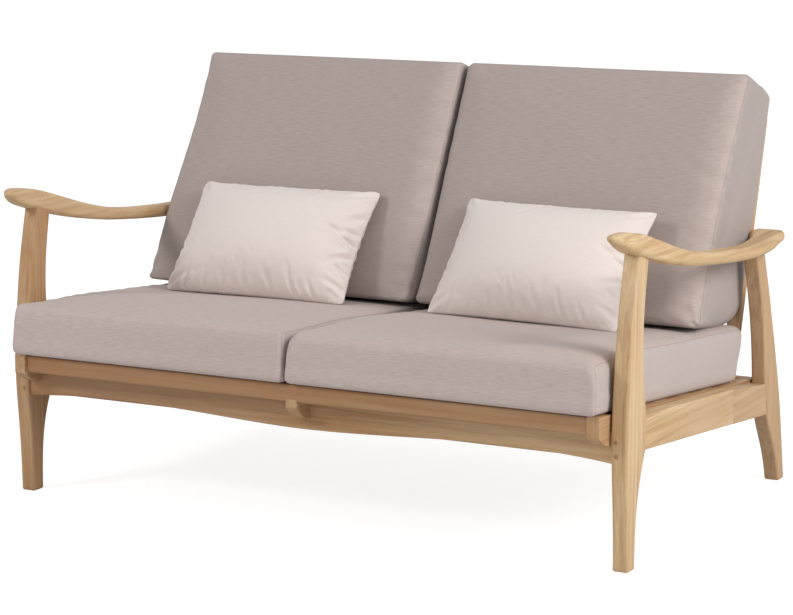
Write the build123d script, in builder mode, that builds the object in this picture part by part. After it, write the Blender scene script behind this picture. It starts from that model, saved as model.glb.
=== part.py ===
"""Patio loveseat: an oiled-teak frame of two side frames, a slatted seat and a slatted back,
with two seat cushions, two back cushions and two throw pillows.

Millimetres, +Z up. The origin is on the floor, under the middle of the whole piece.
Left and right are as seen from the front, so left is -X. Inside this file a place on the
side view is (back, up): back is counted from the front of the front feet, up from the floor.
"""
from build123d import *
from math import cos, radians, sin, tan
import os

os.makedirs("parts", exist_ok=True)

# Whole frame
frame_width = 1360.0        # over the outer faces of the legs
leg_thickness = 32.0        # legs, side rails: the width of the side frame
seat_height = 300.0         # top of the bearers at their front ends
seat_pitch = 5.2            # degrees the seat falls towards the back
seat_depth = 735.0          # from the front ends of the bearers to the face of the back
back_pitch = 16.5           # degrees the back leans from upright
back_length = 555.0         # face of the back, from the seat line to the top of the stiles
nose_reach = 57.5           # how far the bearers stand out in front of the front feet

# Seat frame
bearer_thickness = 24.0
bearer_depth = 58.0
bearer_gap = 3.5            # shadow gap between a side bearer and its leg
nose_length = 50.0          # curved underside of a bearer's front end
nose_rise = 20.0            # flat front end stops this far above the underside
centre_nose_rise = 26.0
nose_bend_share = (0.30, 0.45)
apron_thickness = 22.0
apron_setback = 8.0         # apron face behind the fullest part of the front leg
apron_top = 262.0
apron_end_height = 59.0
apron_arch = 9.5            # rise of the two shallow arches
apron_drop = 3.0            # the middle hangs below the ends
tenon_thickness = 12.0
tenon_length = 20.0
tenon_shoulder = 8.0        # wood left above and below a tenon
rear_rail_thickness = 24.0
rear_rail_height = 60.0
rear_rail_gap = 41.0        # from the rear of the stile back to the rear rail, on the seat line
batten_depth = 24.0
batten_height = 35.0
batten_setback = 6.0        # batten face behind the ends of the side bearers
seat_slat_count = 6
slat_width = 60.0
slat_thickness = 15.0
slat_housing = 15.0         # slat ends let into the side bearers
slat_edge = 3.0

# Back frame
stile_width = 24.5
stile_depth = 24.3
centre_stile_depth = 20.0
stile_tail = 58.0           # stile below the seat line
stile_round = 8.0
top_rail_height = 60.0
back_slat_count = 4
back_slat_width = 50.0
back_slat_thickness = 12.0
back_slat_housing = 12.0
back_slats_start = 60.0     # lowest back slat above the seat line
top_rail_tenon = 16.0

# Legs: outlines as shares of the leg's fullest depth and of its height
front_leg_depth = 92.0
rear_leg_depth = 82.0
rear_leg_setback = 45.5     # from the foot of the back to the fullest part of the rear leg
leg_edge = 3.0
front_leg_front_shares = [(0.03, 0.0), (-0.03, 0.22), (-0.12, 0.41),
                          (-0.035, 0.63), (0.15, 0.83), (0.40, 1.0)]
front_leg_low_shares = [(0.40, 0.0), (0.45, 0.16), (0.60, 0.27), (0.88, 0.372)]
front_leg_high_shares = [(0.88, 0.488), (0.70, 0.65), (0.70, 0.79), (0.91, 1.0)]
rear_leg_front_shares = [(-0.866, 1.0), (-0.427, 0.795), (-0.11, 0.571), (0.0, 0.411), (0.16, 0.305),
                         (0.77, 0.134), (1.11, 0.0)]
rear_leg_back_shares = [(1.512, 0.0), (1.305, 0.177), (1.012, 0.384), (0.512, 0.636), (0.049, 0.846),
                        (-0.33, 1.0)]

# Side rails
rail_top_front = 283.0
rail_depth = 67.0
rail_fall = 0.081           # fall of the rail's top edge for each unit back
rail_under_fall = 0.090
heel_fall = 0.125           # the rear piece of the rail falls a little faster
heel_length = 182.0         # rear piece of the rail, glued on end to end
rail_reveal = 1.0           # rail face behind the leg face

# Armrests: stations along the arm as shares of its length
arm_low = 504.0             # lowest part of the underside
arm_rise = 128.0            # top of the front end above that
arm_front_reach = 55.0      # tip in front of the front feet
arm_rear_reach = 12.0       # end behind the stile
arm_round = 9.0
arm_let_in = 4.0            # legs let into the underside
arm_shares = [
    # along, inner side, outer side, underside, top, corner
    (0.000, -0.15, -0.58, 0.915, 0.990, 0.4),
    (0.018, -0.04, -0.15, 0.855, 1.000, 0.8),
    (0.045, 0.07, 0.18, 0.765, 0.998, 1.0),
    (0.088, 0.07, 0.28, 0.665, 0.968, 1.0),
    (0.182, 0.07, 0.31, 0.492, 0.820, 1.0),
    (0.300, 0.04, 0.34, 0.320, 0.594, 1.0),
    (0.417, 0.00, 0.41, 0.195, 0.414, 1.0),
    (0.534, -0.07, 0.47, 0.110, 0.305, 1.0),
    (0.651, -0.22, 0.56, 0.040, 0.246, 1.0),
    (0.745, -0.31, 0.66, 0.004, 0.211, 1.0),
    (0.839, -0.07, 0.66, 0.000, 0.211, 1.0),
    (0.910, 0.42, 0.50, 0.016, 0.227, 1.0),
    (0.952, 1.00, 0.34, 0.039, 0.242, 1.0),
    (1.000, 1.00, 0.19, 0.055, 0.242, 1.0),
]

# Fasteners
peg_diameter = 8.0
peg_length = 32.0
peg_proud = 0.5
peg_inset = 10.0            # from the leg's inner face to the peg
peg_spacing = 26.0
dowel_diameter = 10.0
dowel_length = 40.0
bolt_diameter = 8.0
bolt_head_diameter = 18.0
bolt_head_height = 4.5
bolt_spacing = 28.0
sleeve_diameter = 11.0
sleeve_length = 14.0
sleeve_flange = 2.5
screw_diameter = 4.0
screw_head_diameter = 8.0
screw_head_height = 3.0
screw_length = 28.0
back_screw_length = 22.0

# Cushions and pillows
soft_gap = 0.4              # between a soft piece and what it lies against
cushion_side_gap = 10.0     # seat cushion to the inner face of the leg
cushion_middle_gap = 2.0
cushion_overhang = 15.0     # seat cushion in front of the bearers
seat_cushion_thickness = 100.0
seat_crown = 10.0
soft_round = 26.0           # rounding of the seat cushions' long edges
soft_corner = 18.0          # rounding of a cushion's corners
drawn_in = 5.0              # how far a side pulls in between its corners
back_cushion_side = 46.0    # outer side of the back cushion to the outer face of the leg
back_rear_round = 48.0
back_front_round = 22.0
back_cushion_foot = 274.0   # thickness at the bottom
back_cushion_head = 166.0   # thickness at the top
back_cushion_length = 482.0
back_cushion_head_pitch = 20.0
back_crown = 12.0
pillow_width = 433.0
pillow_height = 280.0
pillow_front_bulge = 62.0
pillow_rear_bulge = 26.0
pillow_pitch = 39.5         # degrees from upright
pillow_drawn_in = 9.0
pillow_corner = 12.0
pillow_left_place = 321.0   # from the middle of the seat to the pillow's middle
pillow_right_place = 309.0
soft_rim_shares = [(0.0, 1.0), (0.293, 0.293), (1.0, 0.0)]
soft_crown_shares = [(0.45, 2.2), (0.82, 4.4), (1.0, 7.5)]
pillow_shares = [(0.30, 0.04), (0.56, 0.11), (0.84, 0.23), (1.0, 0.38)]

overrun = 40.0              # how far a cutting shape runs past what it cuts

back_cushion_settle = 3.9   # foot of the back cushion below the top of the seat cushion's crown
pillow_left_lean_in = 2.1   # pillow closer to the back cushion than the top of that cushion's crown
pillow_right_lean_in = 4.1
pillow_left_turn = 1.3      # degrees, about the upright
pillow_right_turn = -3.5
first_slat = 48.0           # first seat slat behind the ends of the bearers
last_slat_gap = 18.0        # last seat slat in front of the back
batten_round = 6.0
batten_housing = 8.0

# Worked-out places
half_width = frame_width / 2
leg_inner = half_width - leg_thickness
leg_middle = half_width - leg_thickness / 2
bearer_outer = leg_inner - bearer_gap
bearer_inner = bearer_outer - bearer_thickness
stile_outer = bearer_inner
stile_inner = stile_outer - stile_width


def on_seat(along, above=0.0):
    """Place (back, up) at a distance along the seat line from the bearer ends, and above it."""
    fall = radians(seat_pitch)
    back = -nose_reach + along * cos(fall) + above * sin(fall)
    return (back, seat_height - along * sin(fall) + above * cos(fall))


back_foot = on_seat(seat_depth)


def on_back(along, ahead=0.0):
    """Place (back, up) at a distance up the face of the back, and in front of that face."""
    lean = radians(back_pitch)
    back = back_foot[0] + along * sin(lean) - ahead * cos(lean)
    return (back, back_foot[1] + along * cos(lean) + ahead * sin(lean))


cushion_inner = cushion_middle_gap / 2
cushion_outer = leg_inner - cushion_side_gap
corner_pull = 4 * drawn_in * soft_corner / (cushion_outer - cushion_inner)
front_most = on_seat(corner_pull - cushion_overhang, soft_gap + soft_round)[0]
rear_most = on_back(back_length - stile_round, stile_round - stile_depth)[0] + stile_round
origin_back = (front_most + rear_most) / 2


def side_plane(x):
    """Upright plane at x: its first axis runs back, its second up, its normal is +X."""
    return Plane(origin=(x, -origin_back, 0), x_dir=(0, 1, 0), z_dir=(1, 0, 0))


def front_plane(back):
    """Upright plane facing the front at a distance back: its axes are +X and up."""
    return Plane(origin=(0, back - origin_back, 0), x_dir=(1, 0, 0), z_dir=(0, -1, 0))


sides = ((-1, "left"), (1, "right"))


def flat_plane(up):
    """Level plane at a height, for upright holes and dowels."""
    return Plane(origin=(0, -origin_back, up), x_dir=(1, 0, 0), z_dir=(0, 0, 1))


def seat_line(back):
    """Height of the seat line at a distance back."""
    return seat_height - (back + nose_reach) * tan(radians(seat_pitch))


def arm_station(share):
    """Distance back of a station on the armrest."""
    return arm_front + share * (arm_rear - arm_front)


def arm_underside(back):
    """Height of the armrest's underside, read between its stations."""
    for near, far in zip(arm_shares, arm_shares[1:]):
        start = arm_station(near[0])
        end = arm_station(far[0])
        if start <= back <= end:
            part_way = (back - start) / (end - start)
            return arm_low + arm_rise * (near[3] + part_way * (far[3] - near[3]))
    return arm_low


arm_middle = arm_low + arm_rise / 8
arm_front = -arm_front_reach
arm_rear = on_back((arm_middle - back_foot[1]) / cos(radians(back_pitch)), -stile_depth)[0] + arm_rear_reach
front_leg_height = arm_underside(front_leg_depth / 2) + arm_let_in
rear_leg_place = back_foot[0] + rear_leg_setback
rear_leg_height = arm_underside(rear_leg_place - rear_leg_depth / 2) + arm_let_in
front_leg_back = front_leg_low_shares[-1][0] * front_leg_depth
rear_rail_front = on_back(0, -stile_depth)[0] + rear_rail_gap
batten_front = -nose_reach + batten_setback
apron_front = front_leg_front_shares[2][0] * front_leg_depth + apron_setback


def leg_point(share, start, depth, height):
    """Place (back, up) of a leg outline's share."""
    return (start + share[0] * depth, share[1] * height)


def topped(point):
    """The same place, with its height on the armrest's underside, let in."""
    return (point[0], arm_underside(point[0]) + arm_let_in)


def front_leg_outline(plane):
    """Sketch of a front leg's side view: slim foot, full at the rails, slim again under the armrest."""
    front = [leg_point(s, 0, front_leg_depth, front_leg_height) for s in front_leg_front_shares]
    low = [leg_point(s, 0, front_leg_depth, front_leg_height) for s in front_leg_low_shares]
    high = [leg_point(s, 0, front_leg_depth, front_leg_height) for s in front_leg_high_shares]
    front[-1] = topped(front[-1])
    high[-1] = topped(high[-1])
    with BuildSketch(plane) as view:
        with BuildLine():
            Spline(*front)
            Line(front[-1], high[-1])
            Spline(*high)
            Line(high[0], low[-1])
            Spline(*low)
            Line(low[0], front[0])
        make_face()
    return view.sketch


def rear_leg_outline(plane):
    """Sketch of a rear leg's side view: raked back to the floor, leaning back under the armrest."""
    front = [leg_point(s, rear_leg_place, rear_leg_depth, rear_leg_height) for s in rear_leg_front_shares]
    rear = [leg_point(s, rear_leg_place, rear_leg_depth, rear_leg_height) for s in rear_leg_back_shares]
    front[0] = topped(front[0])
    rear[-1] = topped(rear[-1])
    with BuildSketch(plane) as view:
        with BuildLine():
            Spline(*front)
            Line(front[-1], rear[0])
            Spline(*rear)
            Line(rear[-1], front[0])
        make_face()
    return view.sketch


def outline(plane, points):
    """Sketch with straight sides through the points."""
    with BuildSketch(plane) as view:
        with BuildLine():
            Polyline(*points, close=True)
        make_face()
    return view.sketch


def curved_edges(builder):
    """The curved edges round the two side faces of a leg."""
    faces = builder.faces().sort_by(Axis.X)
    return (faces[0].edges() + faces[-1].edges()).filter_by(GeomType.BSPLINE)


# Side rails: a long front piece and a rear piece glued to its end, tenoned into both legs
rail_start = front_leg_back
rail_joint = rear_leg_place - heel_length
rail_under_front = rail_top_front - rail_depth
joint_top = rail_top_front - (rail_joint - rail_start) * rail_fall
joint_under = rail_under_front - (rail_joint - rail_start) * rail_under_fall
heel_end = rear_leg_place + rear_leg_depth / 2
heel_top = joint_top - (heel_end - rail_joint) * heel_fall
heel_under = joint_under - (heel_end - rail_joint) * rail_under_fall
rail_thickness = leg_thickness - rail_reveal
tenon_inset = (leg_thickness - tenon_thickness) / 2
side_rails = {}
rail_heels = {}
for side, hand in sides:
    inner_plane = side_plane(side * leg_inner)
    tenon_plane = side_plane(side * (leg_inner + tenon_inset))
    with BuildPart() as side_rail:
        extrude(outline(inner_plane, [(rail_start, rail_top_front), (rail_joint, joint_top),
                              (rail_joint, joint_under), (rail_start, rail_under_front)]),
                amount=side * rail_thickness)
        extrude(outline(tenon_plane, [(rail_start - tenon_length, rail_top_front - tenon_shoulder),
                              (rail_start + tenon_length, rail_top_front - 2 * tenon_shoulder),
                              (rail_start + tenon_length, rail_under_front + tenon_shoulder),
                              (rail_start - tenon_length, rail_under_front + tenon_shoulder)]),
                amount=side * tenon_thickness)
        extrude(outline(tenon_plane, [(rail_joint - tenon_length, joint_top - 2 * tenon_shoulder),
                              (rail_joint + tenon_length, joint_top - 2 * tenon_shoulder),
                              (rail_joint + tenon_length, joint_under + tenon_shoulder),
                              (rail_joint - tenon_length, joint_under + tenon_shoulder)]),
                amount=side * tenon_thickness)
    side_rail.part.label = f"side_rail_{hand}"
    export_step(side_rail.part, f"parts/side_rail_{hand}.step")
    side_rails[hand] = side_rail.part
    with BuildPart() as rail_heel:
        extrude(outline(inner_plane, [(rail_joint, joint_top), (heel_end, heel_top),
                              (heel_end, heel_under), (rail_joint, joint_under)]),
                amount=side * rail_thickness)
        extrude(rear_leg_outline(inner_plane), amount=side * leg_thickness, mode=Mode.SUBTRACT)
        extrude(outline(tenon_plane, [(rear_leg_place - tenon_length, heel_top - tenon_shoulder),
                              (rear_leg_place + tenon_length, heel_top - tenon_shoulder),
                              (rear_leg_place + tenon_length, heel_under + 2 * tenon_shoulder),
                              (rear_leg_place - tenon_length, heel_under + 2 * tenon_shoulder)]),
                amount=side * tenon_thickness)
        add(side_rail.part, mode=Mode.SUBTRACT)
    rail_heel.part.label = f"rail_heel_{hand}"
    export_step(rail_heel.part, f"parts/rail_heel_{hand}.step")
    rail_heels[hand] = rail_heel.part

# Pegs through the front legs and the apron's tenons
apron_ends = apron_top - apron_end_height
peg_front = front_leg_front_shares[2][0] * front_leg_depth - peg_proud
peg_middle = (apron_top + apron_ends) / 2
with BuildPart() as apron_pegs:
    with BuildSketch(front_plane(peg_front)):
        with Locations(*[(side * (leg_inner + peg_inset), peg_middle + step * peg_spacing / 2)
                         for side, hand in sides for step in (-1, 1)]):
            Circle(peg_diameter / 2)
    extrude(amount=-peg_length)
apron_pegs.part.label = "apron_pegs"
export_step(apron_pegs.part, "parts/apron_pegs.step")

# Front apron: a double arch along its lower edge, tenoned into the front legs and pegged
apron_tenon_front = apron_front + (apron_thickness - tenon_thickness) / 2
with BuildPart() as front_apron:
    with BuildSketch(front_plane(apron_front)):
        with BuildLine():
            Line((-leg_inner, apron_ends), (-leg_inner, apron_top))
            Line((-leg_inner, apron_top), (leg_inner, apron_top))
            Line((leg_inner, apron_top), (leg_inner, apron_ends))
            Spline((leg_inner, apron_ends), (leg_inner / 2, apron_ends + apron_arch),
                   (0, apron_ends - apron_drop), (-leg_inner / 2, apron_ends + apron_arch),
                   (-leg_inner, apron_ends))
        make_face()
    extrude(amount=-apron_thickness)
    fillet(front_apron.faces().sort_by(Axis.Y)[0].edges().sort_by(Axis.Z)[0], radius=slat_edge)
    with BuildSketch(front_plane(apron_tenon_front)):
        with Locations((0, (apron_top + apron_ends) / 2)):
            Rectangle(2 * (leg_inner + tenon_length), apron_end_height - 2 * tenon_shoulder)
    extrude(amount=-tenon_thickness)
    add(apron_pegs.part, mode=Mode.SUBTRACT)
front_apron.part.label = "front_apron"
export_step(front_apron.part, "parts/front_apron.step")

# Rear rail between the rear legs, its top on the seat line
rear_rail_top = seat_line(rear_rail_front)
rear_tenon_front = rear_rail_front + (rear_rail_thickness - tenon_thickness) / 2
with BuildPart() as rear_rail:
    with BuildSketch(front_plane(rear_rail_front)):
        with Locations((0, rear_rail_top - rear_rail_height / 2)):
            Rectangle(2 * leg_inner, rear_rail_height)
    extrude(amount=-rear_rail_thickness)
    fillet(rear_rail.edges().filter_by(Axis.X), radius=slat_edge)
    with BuildSketch(front_plane(rear_tenon_front)):
        with Locations((0, rear_rail_top - rear_rail_height / 2)):
            Rectangle(2 * (leg_inner + tenon_length), rear_rail_height - 2 * tenon_shoulder)
    extrude(amount=-tenon_thickness)

# Dowels from the legs up into the armrests
dowel_places = [front_leg_depth * (front_leg_front_shares[-1][0] + front_leg_high_shares[-1][0]) / 2,
                rear_leg_place + rear_leg_depth * (rear_leg_front_shares[0][0]
                                                   + rear_leg_back_shares[-1][0]) / 2]
dowel_rise = dowel_length / 3
with BuildPart() as arm_dowels:
    for back in dowel_places:
        with BuildSketch(flat_plane(arm_underside(back) + dowel_rise)):
            with Locations(*[(side * leg_middle, back) for side, hand in sides]):
                Circle(dowel_diameter / 2)
        extrude(amount=-dowel_length)
arm_dowels.part.label = "arm_dowels"
export_step(arm_dowels.part, "parts/arm_dowels.step")

# Legs, with the mortises of the rails and the holes of pegs and dowels
leg_tops = {}
for side, hand in sides:
    inner_plane = side_plane(side * leg_inner)
    with BuildPart() as front_leg:
        extrude(front_leg_outline(inner_plane), amount=side * leg_thickness)
        fillet(curved_edges(front_leg), radius=leg_edge)
        add(side_rails[hand], mode=Mode.SUBTRACT)
        add(front_apron.part, mode=Mode.SUBTRACT)
        add(apron_pegs.part, mode=Mode.SUBTRACT)
        add(arm_dowels.part, mode=Mode.SUBTRACT)
    front_leg.part.label = f"front_leg_{hand}"
    export_step(front_leg.part, f"parts/front_leg_{hand}.step")
    with BuildPart() as rear_leg:
        extrude(rear_leg_outline(inner_plane), amount=side * leg_thickness)
        fillet(curved_edges(rear_leg), radius=leg_edge)
        add(rail_heels[hand], mode=Mode.SUBTRACT)
        add(rear_rail.part, mode=Mode.SUBTRACT)
        add(arm_dowels.part, mode=Mode.SUBTRACT)
    rear_leg.part.label = f"rear_leg_{hand}"
    export_step(rear_leg.part, f"parts/rear_leg_{hand}.step")
    leg_tops[hand] = (front_leg.part, rear_leg.part)

# Batten across the front, housed in the outer bearers
batten_top = seat_line(batten_front + batten_depth)
with BuildPart() as front_batten:
    with BuildSketch(front_plane(batten_front)):
        with Locations((0, batten_top - batten_height / 2)):
            Rectangle(2 * (bearer_inner + batten_housing), batten_height)
    extrude(amount=-batten_depth)
    long_edges = front_batten.edges().filter_by(Axis.X).sort_by(Axis.Y)
    fillet(long_edges[:2].sort_by(Axis.Z)[0], radius=batten_round)
    fillet(front_batten.edges().filter_by(Axis.X).sort_by(Axis.Z)[-2:], radius=slat_edge)
front_batten.part.label = "front_batten"
export_step(front_batten.part, "parts/front_batten.step")


def seat_plane(above):
    """Plane along the seat: its axes are +X and backwards along the seat line."""
    place = on_seat(0, above)
    fall = radians(seat_pitch)
    origin = (0, place[0] - origin_back, place[1])
    return Plane(origin=origin, x_dir=(1, 0, 0), z_dir=(0, sin(fall), cos(fall)))


def back_plane(ahead):
    """Plane along the face of the back: its axes are +X and up the face."""
    place = on_back(0, ahead)
    lean = radians(back_pitch)
    origin = (0, place[0] - origin_back, place[1])
    return Plane(origin=origin, x_dir=(1, 0, 0), z_dir=(0, -cos(lean), sin(lean)))


# Seat slats, let into the tops of the outer bearers and lying on the centre one
slat_step = (seat_depth - last_slat_gap - first_slat - slat_width) / (seat_slat_count - 1)
slat_places = [first_slat + slat_width / 2 + number * slat_step for number in range(seat_slat_count)]
seat_screw_row = bearer_inner + slat_housing / 2
with BuildPart() as seat_slat_screws:
    for place in slat_places:
        spots = [(side * seat_screw_row, place) for side, hand in sides] + [(0, place)]
        with BuildSketch(seat_plane(0)):
            with Locations(*spots):
                Circle(screw_head_diameter / 2)
        extrude(amount=-screw_head_height)
        with BuildSketch(seat_plane(0)):
            with Locations(*spots):
                Circle(screw_diameter / 2)
        extrude(amount=-screw_length)
seat_slat_screws.part.label = "seat_slat_screws"
export_step(seat_slat_screws.part, "parts/seat_slat_screws.step")
seat_slats = []
for number, place in enumerate(slat_places, start=1):
    with BuildPart() as seat_slat:
        with BuildSketch(seat_plane(0)):
            with Locations((0, place)):
                Rectangle(2 * (bearer_inner + slat_housing), slat_width)
        extrude(amount=-slat_thickness)
        fillet(seat_slat.faces().sort_by(Axis.Z)[-1].edges().filter_by(Axis.X), radius=slat_edge)
        add(seat_slat_screws.part, mode=Mode.SUBTRACT)
    seat_slat.part.label = f"seat_slat_{number}"
    export_step(seat_slat.part, f"parts/seat_slat_{number}.step")
    seat_slats.append(seat_slat.part)

# Bolts and sleeve nuts that hold the stiles to the outer bearers
bolt_places = [on_back(-bolt_spacing / 2, -stile_depth / 2), on_back(-3 * bolt_spacing / 2, -stile_depth / 2)]
with BuildPart() as stile_bolts:
    for side, hand in sides:
        with BuildSketch(side_plane(side * stile_inner)):
            with Locations(*bolt_places):
                Circle(bolt_head_diameter / 2)
        extrude(amount=-side * bolt_head_height)
        with BuildSketch(side_plane(side * (stile_inner - bolt_head_height))):
            with Locations(*bolt_places):
                Circle(bolt_diameter / 2)
        extrude(amount=side * (bearer_outer - stile_inner + bolt_head_height))
stile_bolts.part.label = "stile_bolts"
export_step(stile_bolts.part, "parts/stile_bolts.step")
with BuildPart() as stile_nuts:
    for side, hand in sides:
        with BuildSketch(side_plane(side * bearer_outer)):
            with Locations(*bolt_places):
                Circle(bolt_head_diameter / 2)
        extrude(amount=side * sleeve_flange)
        with BuildSketch(side_plane(side * bearer_outer)):
            with Locations(*bolt_places):
                Circle(sleeve_diameter / 2)
        extrude(amount=-side * sleeve_length)
    add(stile_bolts.part, mode=Mode.SUBTRACT)
stile_nuts.part.label = "stile_nuts"
export_step(stile_nuts.part, "parts/stile_nuts.step")

# Bearers from the front ends to the rear rail, notched over the apron
stub_low = rear_rail_top - rear_rail_height + tenon_shoulder
stub_high = rear_rail_top - slat_thickness - tenon_shoulder
bearer_blanks = {}
bearer_sides = [("left", -bearer_outer, 0, -nose_reach, nose_rise),
                ("centre", -bearer_thickness / 2, slat_thickness, batten_front, centre_nose_rise),
                ("right", bearer_inner, 0, -nose_reach, nose_rise)]
for hand, start, drop, front_end, rise in bearer_sides:
    under_front = seat_line(front_end) - (drop + bearer_depth) / cos(radians(seat_pitch))
    nose_back = front_end + nose_length
    under_nose = seat_line(nose_back) - (drop + bearer_depth) / cos(radians(seat_pitch))
    under_rear = seat_line(rear_rail_front) - (drop + bearer_depth) / cos(radians(seat_pitch))
    top_front = seat_line(front_end) - drop / cos(radians(seat_pitch))
    top_rear = seat_line(rear_rail_front) - drop / cos(radians(seat_pitch))
    nose_bend = (front_end + nose_length * nose_bend_share[0], under_front + rise * nose_bend_share[1])
    with BuildPart() as bearer:
        with BuildSketch(side_plane(start)):
            with BuildLine():
                Polyline((nose_back, under_nose), (rear_rail_front, under_rear), (rear_rail_front, top_rear),
                         (front_end, top_front), (front_end, under_front + rise))
                Spline((front_end, under_front + rise), nose_bend, (nose_back, under_nose))
            make_face()
        extrude(amount=bearer_thickness)
        with BuildSketch(side_plane(start + (bearer_thickness - tenon_thickness) / 2)):
            with BuildLine():
                Polyline((rear_rail_front - tenon_length, stub_low),
                         (rear_rail_front + tenon_thickness, stub_low),
                         (rear_rail_front + tenon_thickness, stub_high),
                         (rear_rail_front - tenon_length, stub_high), close=True)
            make_face()
        extrude(amount=tenon_thickness)
        add(front_apron.part, mode=Mode.SUBTRACT)
        add(front_batten.part, mode=Mode.SUBTRACT)
        add(seat_slats, mode=Mode.SUBTRACT)
        add(seat_slat_screws.part, mode=Mode.SUBTRACT)
        add(stile_bolts.part, mode=Mode.SUBTRACT)
        add(stile_nuts.part, mode=Mode.SUBTRACT)
    bearer_blanks[hand] = bearer.part
for hand in ("left", "right"):
    bearer_blanks[hand].label = f"seat_bearer_{hand}"
    export_step(bearer_blanks[hand], f"parts/seat_bearer_{hand}.step")
with BuildPart() as rear_rail_cut:
    add(rear_rail.part)
    add(list(bearer_blanks.values()), mode=Mode.SUBTRACT)
rear_rail_cut.part.label = "rear_rail"
export_step(rear_rail_cut.part, "parts/rear_rail.step")

# Screws of the back slats, in the centre stile
slat_rise = (back_length - top_rail_height - back_slats_start - back_slat_width) / back_slat_count
back_places = [back_slats_start + back_slat_width / 2 + number * slat_rise
               for number in range(back_slat_count)]
with BuildPart() as back_slat_screws:
    with BuildSketch(back_plane(0)):
        with Locations(*[(0, place) for place in back_places]):
            Circle(screw_head_diameter / 2)
    extrude(amount=-screw_head_height)
    with BuildSketch(back_plane(0)):
        with Locations(*[(0, place) for place in back_places]):
            Circle(screw_diameter / 2)
    extrude(amount=-back_screw_length)
back_slat_screws.part.label = "back_slat_screws"
export_step(back_slat_screws.part, "parts/back_slat_screws.step")

# Slats and top rail of the back, let into the stiles
back_slats = []
for number, place in enumerate(back_places, start=1):
    with BuildPart() as back_slat:
        with BuildSketch(back_plane(0)):
            with Locations((0, place)):
                Rectangle(2 * (stile_inner + back_slat_housing), back_slat_width)
        extrude(amount=-back_slat_thickness)
        fillet(back_slat.faces().sort_by(Axis.Y)[0].edges().filter_by(Axis.X), radius=slat_edge)
        add(back_slat_screws.part, mode=Mode.SUBTRACT)
    back_slat.part.label = f"back_slat_{number}"
    export_step(back_slat.part, f"parts/back_slat_{number}.step")
    back_slats.append(back_slat.part)
top_rail_under = back_length - top_rail_height
with BuildPart() as back_top_rail_blank:
    with BuildSketch(back_plane(0)):
        with Locations((0, back_length - top_rail_height / 2)):
            Rectangle(2 * stile_inner, top_rail_height)
    extrude(amount=-stile_depth)
    fillet(back_top_rail_blank.edges().filter_by(Axis.X), radius=slat_edge)
    with BuildSketch(back_plane((tenon_thickness - stile_depth) / 2)):
        with Locations((0, back_length - top_rail_height / 2)):
            Rectangle(2 * (stile_inner + top_rail_tenon), top_rail_height - 2 * tenon_shoulder)
    extrude(amount=-tenon_thickness)

# Centre stile behind the back slats, tenoned into the centre bearer and the top rail
centre_front = -back_slat_thickness
centre_rear = centre_front - centre_stile_depth
centre_tenon_front = centre_front - tenon_shoulder / 2
centre_tenon_rear = centre_rear + tenon_shoulder / 2
with BuildPart() as centre_stile:
    with BuildSketch(side_plane(-bearer_thickness / 2)):
        with BuildLine():
            Polyline(on_back(-overrun, centre_front), on_back(top_rail_under, centre_front),
                     on_back(top_rail_under, centre_rear), on_back(-overrun, centre_rear), close=True)
        make_face()
    extrude(amount=bearer_thickness)
    add(bearer_blanks["centre"], mode=Mode.SUBTRACT)
    with BuildSketch(side_plane(-tenon_thickness / 2)):
        with BuildLine():
            Polyline(on_back(-overrun, centre_tenon_front),
                     on_back(top_rail_under + top_rail_tenon, centre_tenon_front),
                     on_back(top_rail_under + top_rail_tenon, -stile_depth + tenon_shoulder / 2),
                     on_back(top_rail_under - tenon_length, -stile_depth + tenon_shoulder / 2),
                     on_back(top_rail_under - tenon_length, centre_tenon_rear),
                     on_back(-overrun, centre_tenon_rear), close=True)
        make_face()
    extrude(amount=tenon_thickness)
    add(back_slat_screws.part, mode=Mode.SUBTRACT)
centre_stile.part.label = "centre_stile"
export_step(centre_stile.part, "parts/centre_stile.step")
with BuildPart() as centre_bearer:
    add(bearer_blanks["centre"])
    add(centre_stile.part, mode=Mode.SUBTRACT)
centre_bearer.part.label = "seat_bearer_centre"
export_step(centre_bearer.part, "parts/seat_bearer_centre.step")
with BuildPart() as back_top_rail:
    add(back_top_rail_blank.part)
    add(centre_stile.part, mode=Mode.SUBTRACT)
back_top_rail.part.label = "back_top_rail"
export_step(back_top_rail.part, "parts/back_top_rail.step")

# Outer stiles, bolted to the inner faces of the outer bearers
outer_stiles = {}
for side, hand in sides:
    with BuildPart() as back_stile:
        with BuildSketch(side_plane(side * stile_inner)):
            with BuildLine():
                Polyline(on_back(-stile_tail), on_back(back_length), on_back(back_length, -stile_depth),
                         on_back(-stile_tail, -stile_depth), close=True)
            make_face()
        extrude(amount=side * stile_width)
        fillet(back_stile.edges().filter_by(Axis.X).sort_by(Axis.Z)[-2:], radius=stile_round)
        add(back_slats, mode=Mode.SUBTRACT)
        add(back_top_rail.part, mode=Mode.SUBTRACT)
        add(stile_bolts.part, mode=Mode.SUBTRACT)
    back_stile.part.label = f"back_stile_{hand}"
    export_step(back_stile.part, f"parts/back_stile_{hand}.step")
    outer_stiles[hand] = back_stile.part

# Armrests: rounded sections from the front tip to the end behind the stile
for side, hand in sides:
    with BuildPart() as armrest:
        for along, inner, outer, under, top, corner in arm_shares:
            near_side = leg_inner - inner * (leg_inner - stile_outer)
            far_side = half_width + outer * leg_thickness
            with BuildSketch(front_plane(arm_station(along))):
                with Locations((side * (near_side + far_side) / 2, arm_low + arm_rise * (under + top) / 2)):
                    RectangleRounded(far_side - near_side, arm_rise * (top - under), arm_round * corner)
        loft(ruled=True)
        add(leg_tops[hand], mode=Mode.SUBTRACT)
        add(arm_dowels.part, mode=Mode.SUBTRACT)
        add(outer_stiles[hand], mode=Mode.SUBTRACT)
    armrest.part.label = f"armrest_{hand}"
    export_step(armrest.part, f"parts/armrest_{hand}.step")


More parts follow.
